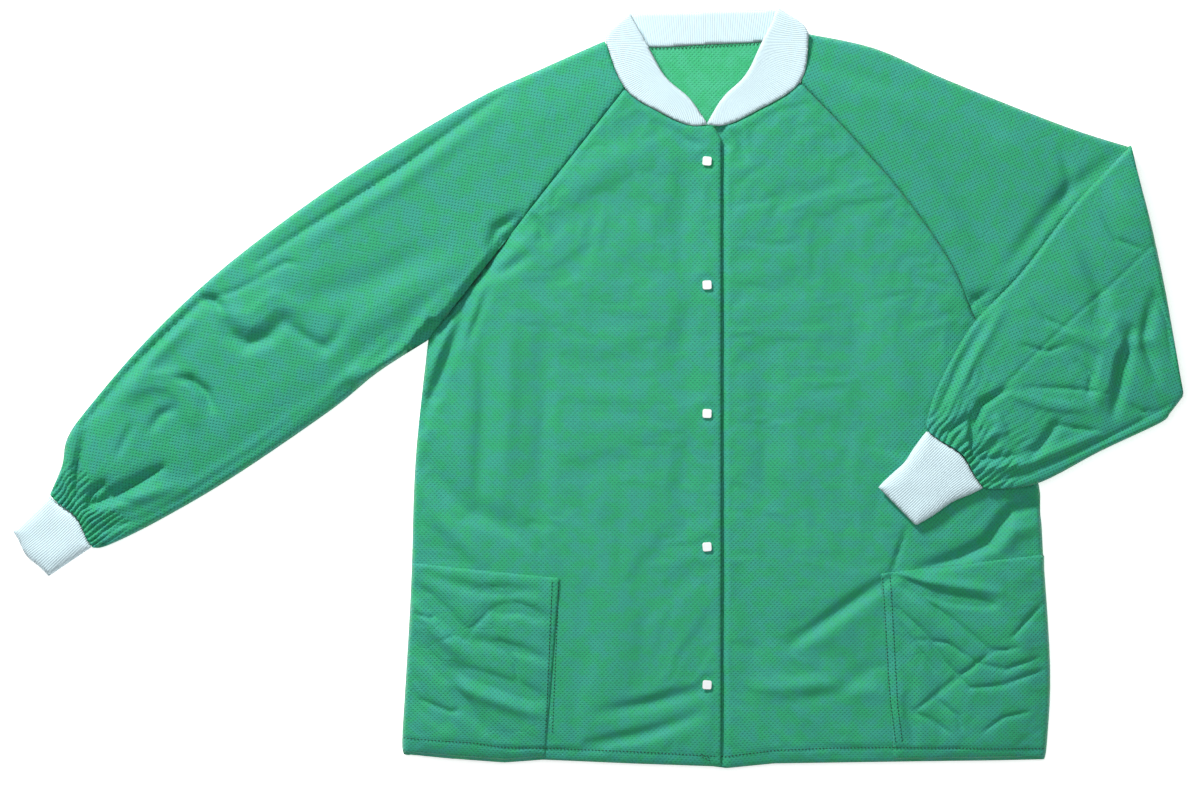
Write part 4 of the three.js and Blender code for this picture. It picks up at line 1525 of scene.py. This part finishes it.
def thread_runs(name, runs, thickness=THREAD_RADIUS):
    """One object of short threads, each through a list of plan points with heights."""
    vertices, faces = [], []
    for run in runs:
        run = np.asarray(run, float)
        count = len(run)
        for i, point in enumerate(run):
            ahead = run[min(i + 1, count - 1)] - run[max(i - 1, 0)]
            ahead = ahead / max(np.linalg.norm(ahead), 1e-9)
            side = unit(np.cross(ahead, (0, 0, 1)))
            upward = np.cross(side, ahead)
            radius = thickness * (STITCH_TAPER if i in (0, count - 1) else 1.0)
            for k in range(STITCH_SIDES):
                angle = 2 * math.pi * k / STITCH_SIDES
                ring = math.cos(angle) * side + math.sin(angle) * upward
                vertices.append(point + radius * ring)
        base = len(vertices) - count * STITCH_SIDES
        for i in range(count - 1):
            for k in range(STITCH_SIDES):
                a = base + i * STITCH_SIDES + k
                b = base + i * STITCH_SIDES + (k + 1) % STITCH_SIDES
                faces.append((a, b, b + STITCH_SIDES, a + STITCH_SIDES))
        faces.append(tuple(base + k for k in range(STITCH_SIDES))[::-1])
        faces.append(tuple(base + (count - 1) * STITCH_SIDES + k for k in range(STITCH_SIDES)))
    obj = new_mesh(name, np.array(vertices), faces)
    obj.data.materials.append(green_thread)
    return obj


def running(path, ground):
    """Running stitches along the path, lying on the ground's cloth."""
    path = np.asarray(path, float)
    last = lengths_along(path)[-1] - STITCH_LENGTH
    runs = []
    for start in np.arange(STITCH_START, last, STITCH_LENGTH + STITCH_SPACE):
        xy = places_on(path, np.linspace(start, start + STITCH_LENGTH, len(STITCH_ARCH)))
        z = ground.tops(xy) + THREAD_RADIUS * np.array(STITCH_ARCH) - STITCH_SINK
        runs.append(np.column_stack([xy, z]))
    return runs


def zigzag(path, ground):
    """Overlock stitches that cross the path from side to side."""
    line = even(path, OVERLOCK_PITCH)
    across = np.gradient(line, axis=0)
    across = np.stack([-across[:, 1], across[:, 0]], 1)
    across /= np.linalg.norm(across, axis=1)[:, None]
    swing = np.where(np.arange(len(line)) % 2, OVERLOCK_REACH, -OVERLOCK_REACH)
    xy = line + across * swing[:, None]
    z = ground.tops(xy) + THREAD_RADIUS * OVERLOCK_RISE
    points = np.column_stack([xy, z])
    return [points[i : i + 2] for i in range(len(points) - 1)]


def one_side(path, limit, keep_low):
    """The part of the path on one side of the limit."""
    path = even(path, HEM_STITCH_STEP)
    return path[path[:, 0] < limit] if keep_low else path[path[:, 0] > limit]


POCKET_STITCHES = {
    "right": ([(-157, 193), (-164, 30)], [(-164, 194), (-171, 30)]),
    "left": ([(186, 198), (194, 68), (200, 20)], [(194, 199), (202, 59), (207, 20)]),
}
PLACKET_TACKS = ([(-7, 13), (5, 8)], [(-6, 10), (4, 6)])


def make_stitches(ground, pocket_ground, back_ground):
    edge = right_front.placket[:, 0].max() - HEM_STITCH_MARGIN
    for side in ("right", "left"):
        path = one_side(HEM_STITCH, edge, side == "right")
        obj = thread_runs(f"{side}_hem_stitches", running(path, pocket_ground))
        blend_flap(obj)
        runs = [run for path in POCKET_STITCHES[side] for run in running(path, pocket_ground)]
        obj = thread_runs(f"{side}_pocket_stitches", runs)
        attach(obj, "root")
    tacks = [run for path in PLACKET_TACKS for run in running(path, ground)]
    obj = thread_runs("placket_tacks", tacks)
    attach(obj, "right_front")
    obj = thread_runs("neck_overlock", zigzag(NECK_SEAM, back_ground), OVERLOCK_RADIUS)
    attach(obj, "root")


# ---- Building everything ----

back_ground = Ground(make_back())
right_cloth = make_front("right", right_front, right_front_height)
left_cloth = make_front("left", left_front, left_front_height)
front_ground = Ground(right_cloth, left_cloth)
right_pocket = make_pocket("right", front_ground, RIGHT_POCKET_FOLDS, RIGHT_POCKET_SEED)
left_pocket = make_pocket("left", front_ground, LEFT_POCKET_FOLDS, LEFT_POCKET_SEED)
outer_ground = Ground(right_cloth, left_cloth, right_pocket, left_pocket)
make_stitches(front_ground, outer_ground, back_ground)
close_front(right_cloth, "right", right_front)
close_front(left_cloth, "left", left_front)
close_sleeves(make_right_sleeve(), make_left_sleeve())
make_bands()
make_cuff("right", RIGHT_CUFF_LEVELS, "right_forearm")
make_cuff("left", LEFT_CUFF_LEVELS, "left_forearm")

for name, node in frame["nodes"].items():
    if name.startswith("snap_"):
        node.data.materials.clear()
        node.data.materials.append(white_plastic)

# ---- Floor, lights and camera ----

PAPER = (0.96, 0.96, 0.96, 1)
PAPER_SHADE = (0.93, 0.93, 0.94, 1)
PAPER_GLOW = 0.6
FLOOR_SIZE = 6
FLOOR_Z = -0.0005
WORLD_GLOW = 0.26
# Area lights: name, place, size and power.
LIGHTS = (
    ("key", (-1.5, 2.7, 1.7), 0.7, 160),
    ("fill", (1.8, -1.2, 2.4), 2.0, 8),
    ("top", (0, 0.12, 1.7), 0.8, 7),
)
LENS = 85
SENSOR_WIDTH = 36
CAMERA_PLACE = (0.0036, -0.0125, 3.017)


def make_stage():
    n = Nodes("white_paper")
    grain = n.add("ShaderNodeTexNoise", {"Scale": 300.0, "Detail": 3.0})
    n.set(Base_Color=n.mix(grain.outputs["Fac"], PAPER_SHADE, PAPER), Roughness=0.95)
    n.set(Emission_Color=PAPER, Emission_Strength=PAPER_GLOW)
    bm = bmesh.new()
    bmesh.ops.create_grid(bm, x_segments=1, y_segments=1, size=FLOOR_SIZE)
    mesh = bpy.data.meshes.new("floor")
    bm.to_mesh(mesh)
    bm.free()
    floor = bpy.data.objects.new("floor", mesh)
    floor.location.z = FLOOR_Z
    floor.data.materials.append(n.material)
    bpy.context.scene.collection.objects.link(floor)


def add_area(name, place, size, power):
    light = bpy.data.lights.new(name, "AREA")
    light.shape = "DISK"
    light.size = size
    light.energy = power
    obj = bpy.data.objects.new(name, light)
    obj.location = place
    obj.rotation_euler = (-Vector(place)).to_track_quat("-Z", "Y").to_euler()
    obj.visible_camera = False
    bpy.context.scene.collection.objects.link(obj)


def make_lights():
    world_set = bpy.data.worlds.new("studio")
    world_set.use_nodes = True
    background = world_set.node_tree.nodes["Background"]
    background.inputs["Color"].default_value = (1.0, 1.0, 1.0, 1)
    background.inputs["Strength"].default_value = WORLD_GLOW
    bpy.context.scene.world = world_set
    for light in LIGHTS:
        add_area(*light)


def make_camera():
    data = bpy.data.cameras.new("camera")
    data.lens = LENS
    data.sensor_width = SENSOR_WIDTH
    camera = bpy.data.objects.new("camera", data)
    camera.location = CAMERA_PLACE
    bpy.context.scene.collection.objects.link(camera)
    bpy.context.scene.camera = camera


make_stage()
make_lights()
make_camera()
bpy.context.scene.view_settings.view_transform = "Standard"
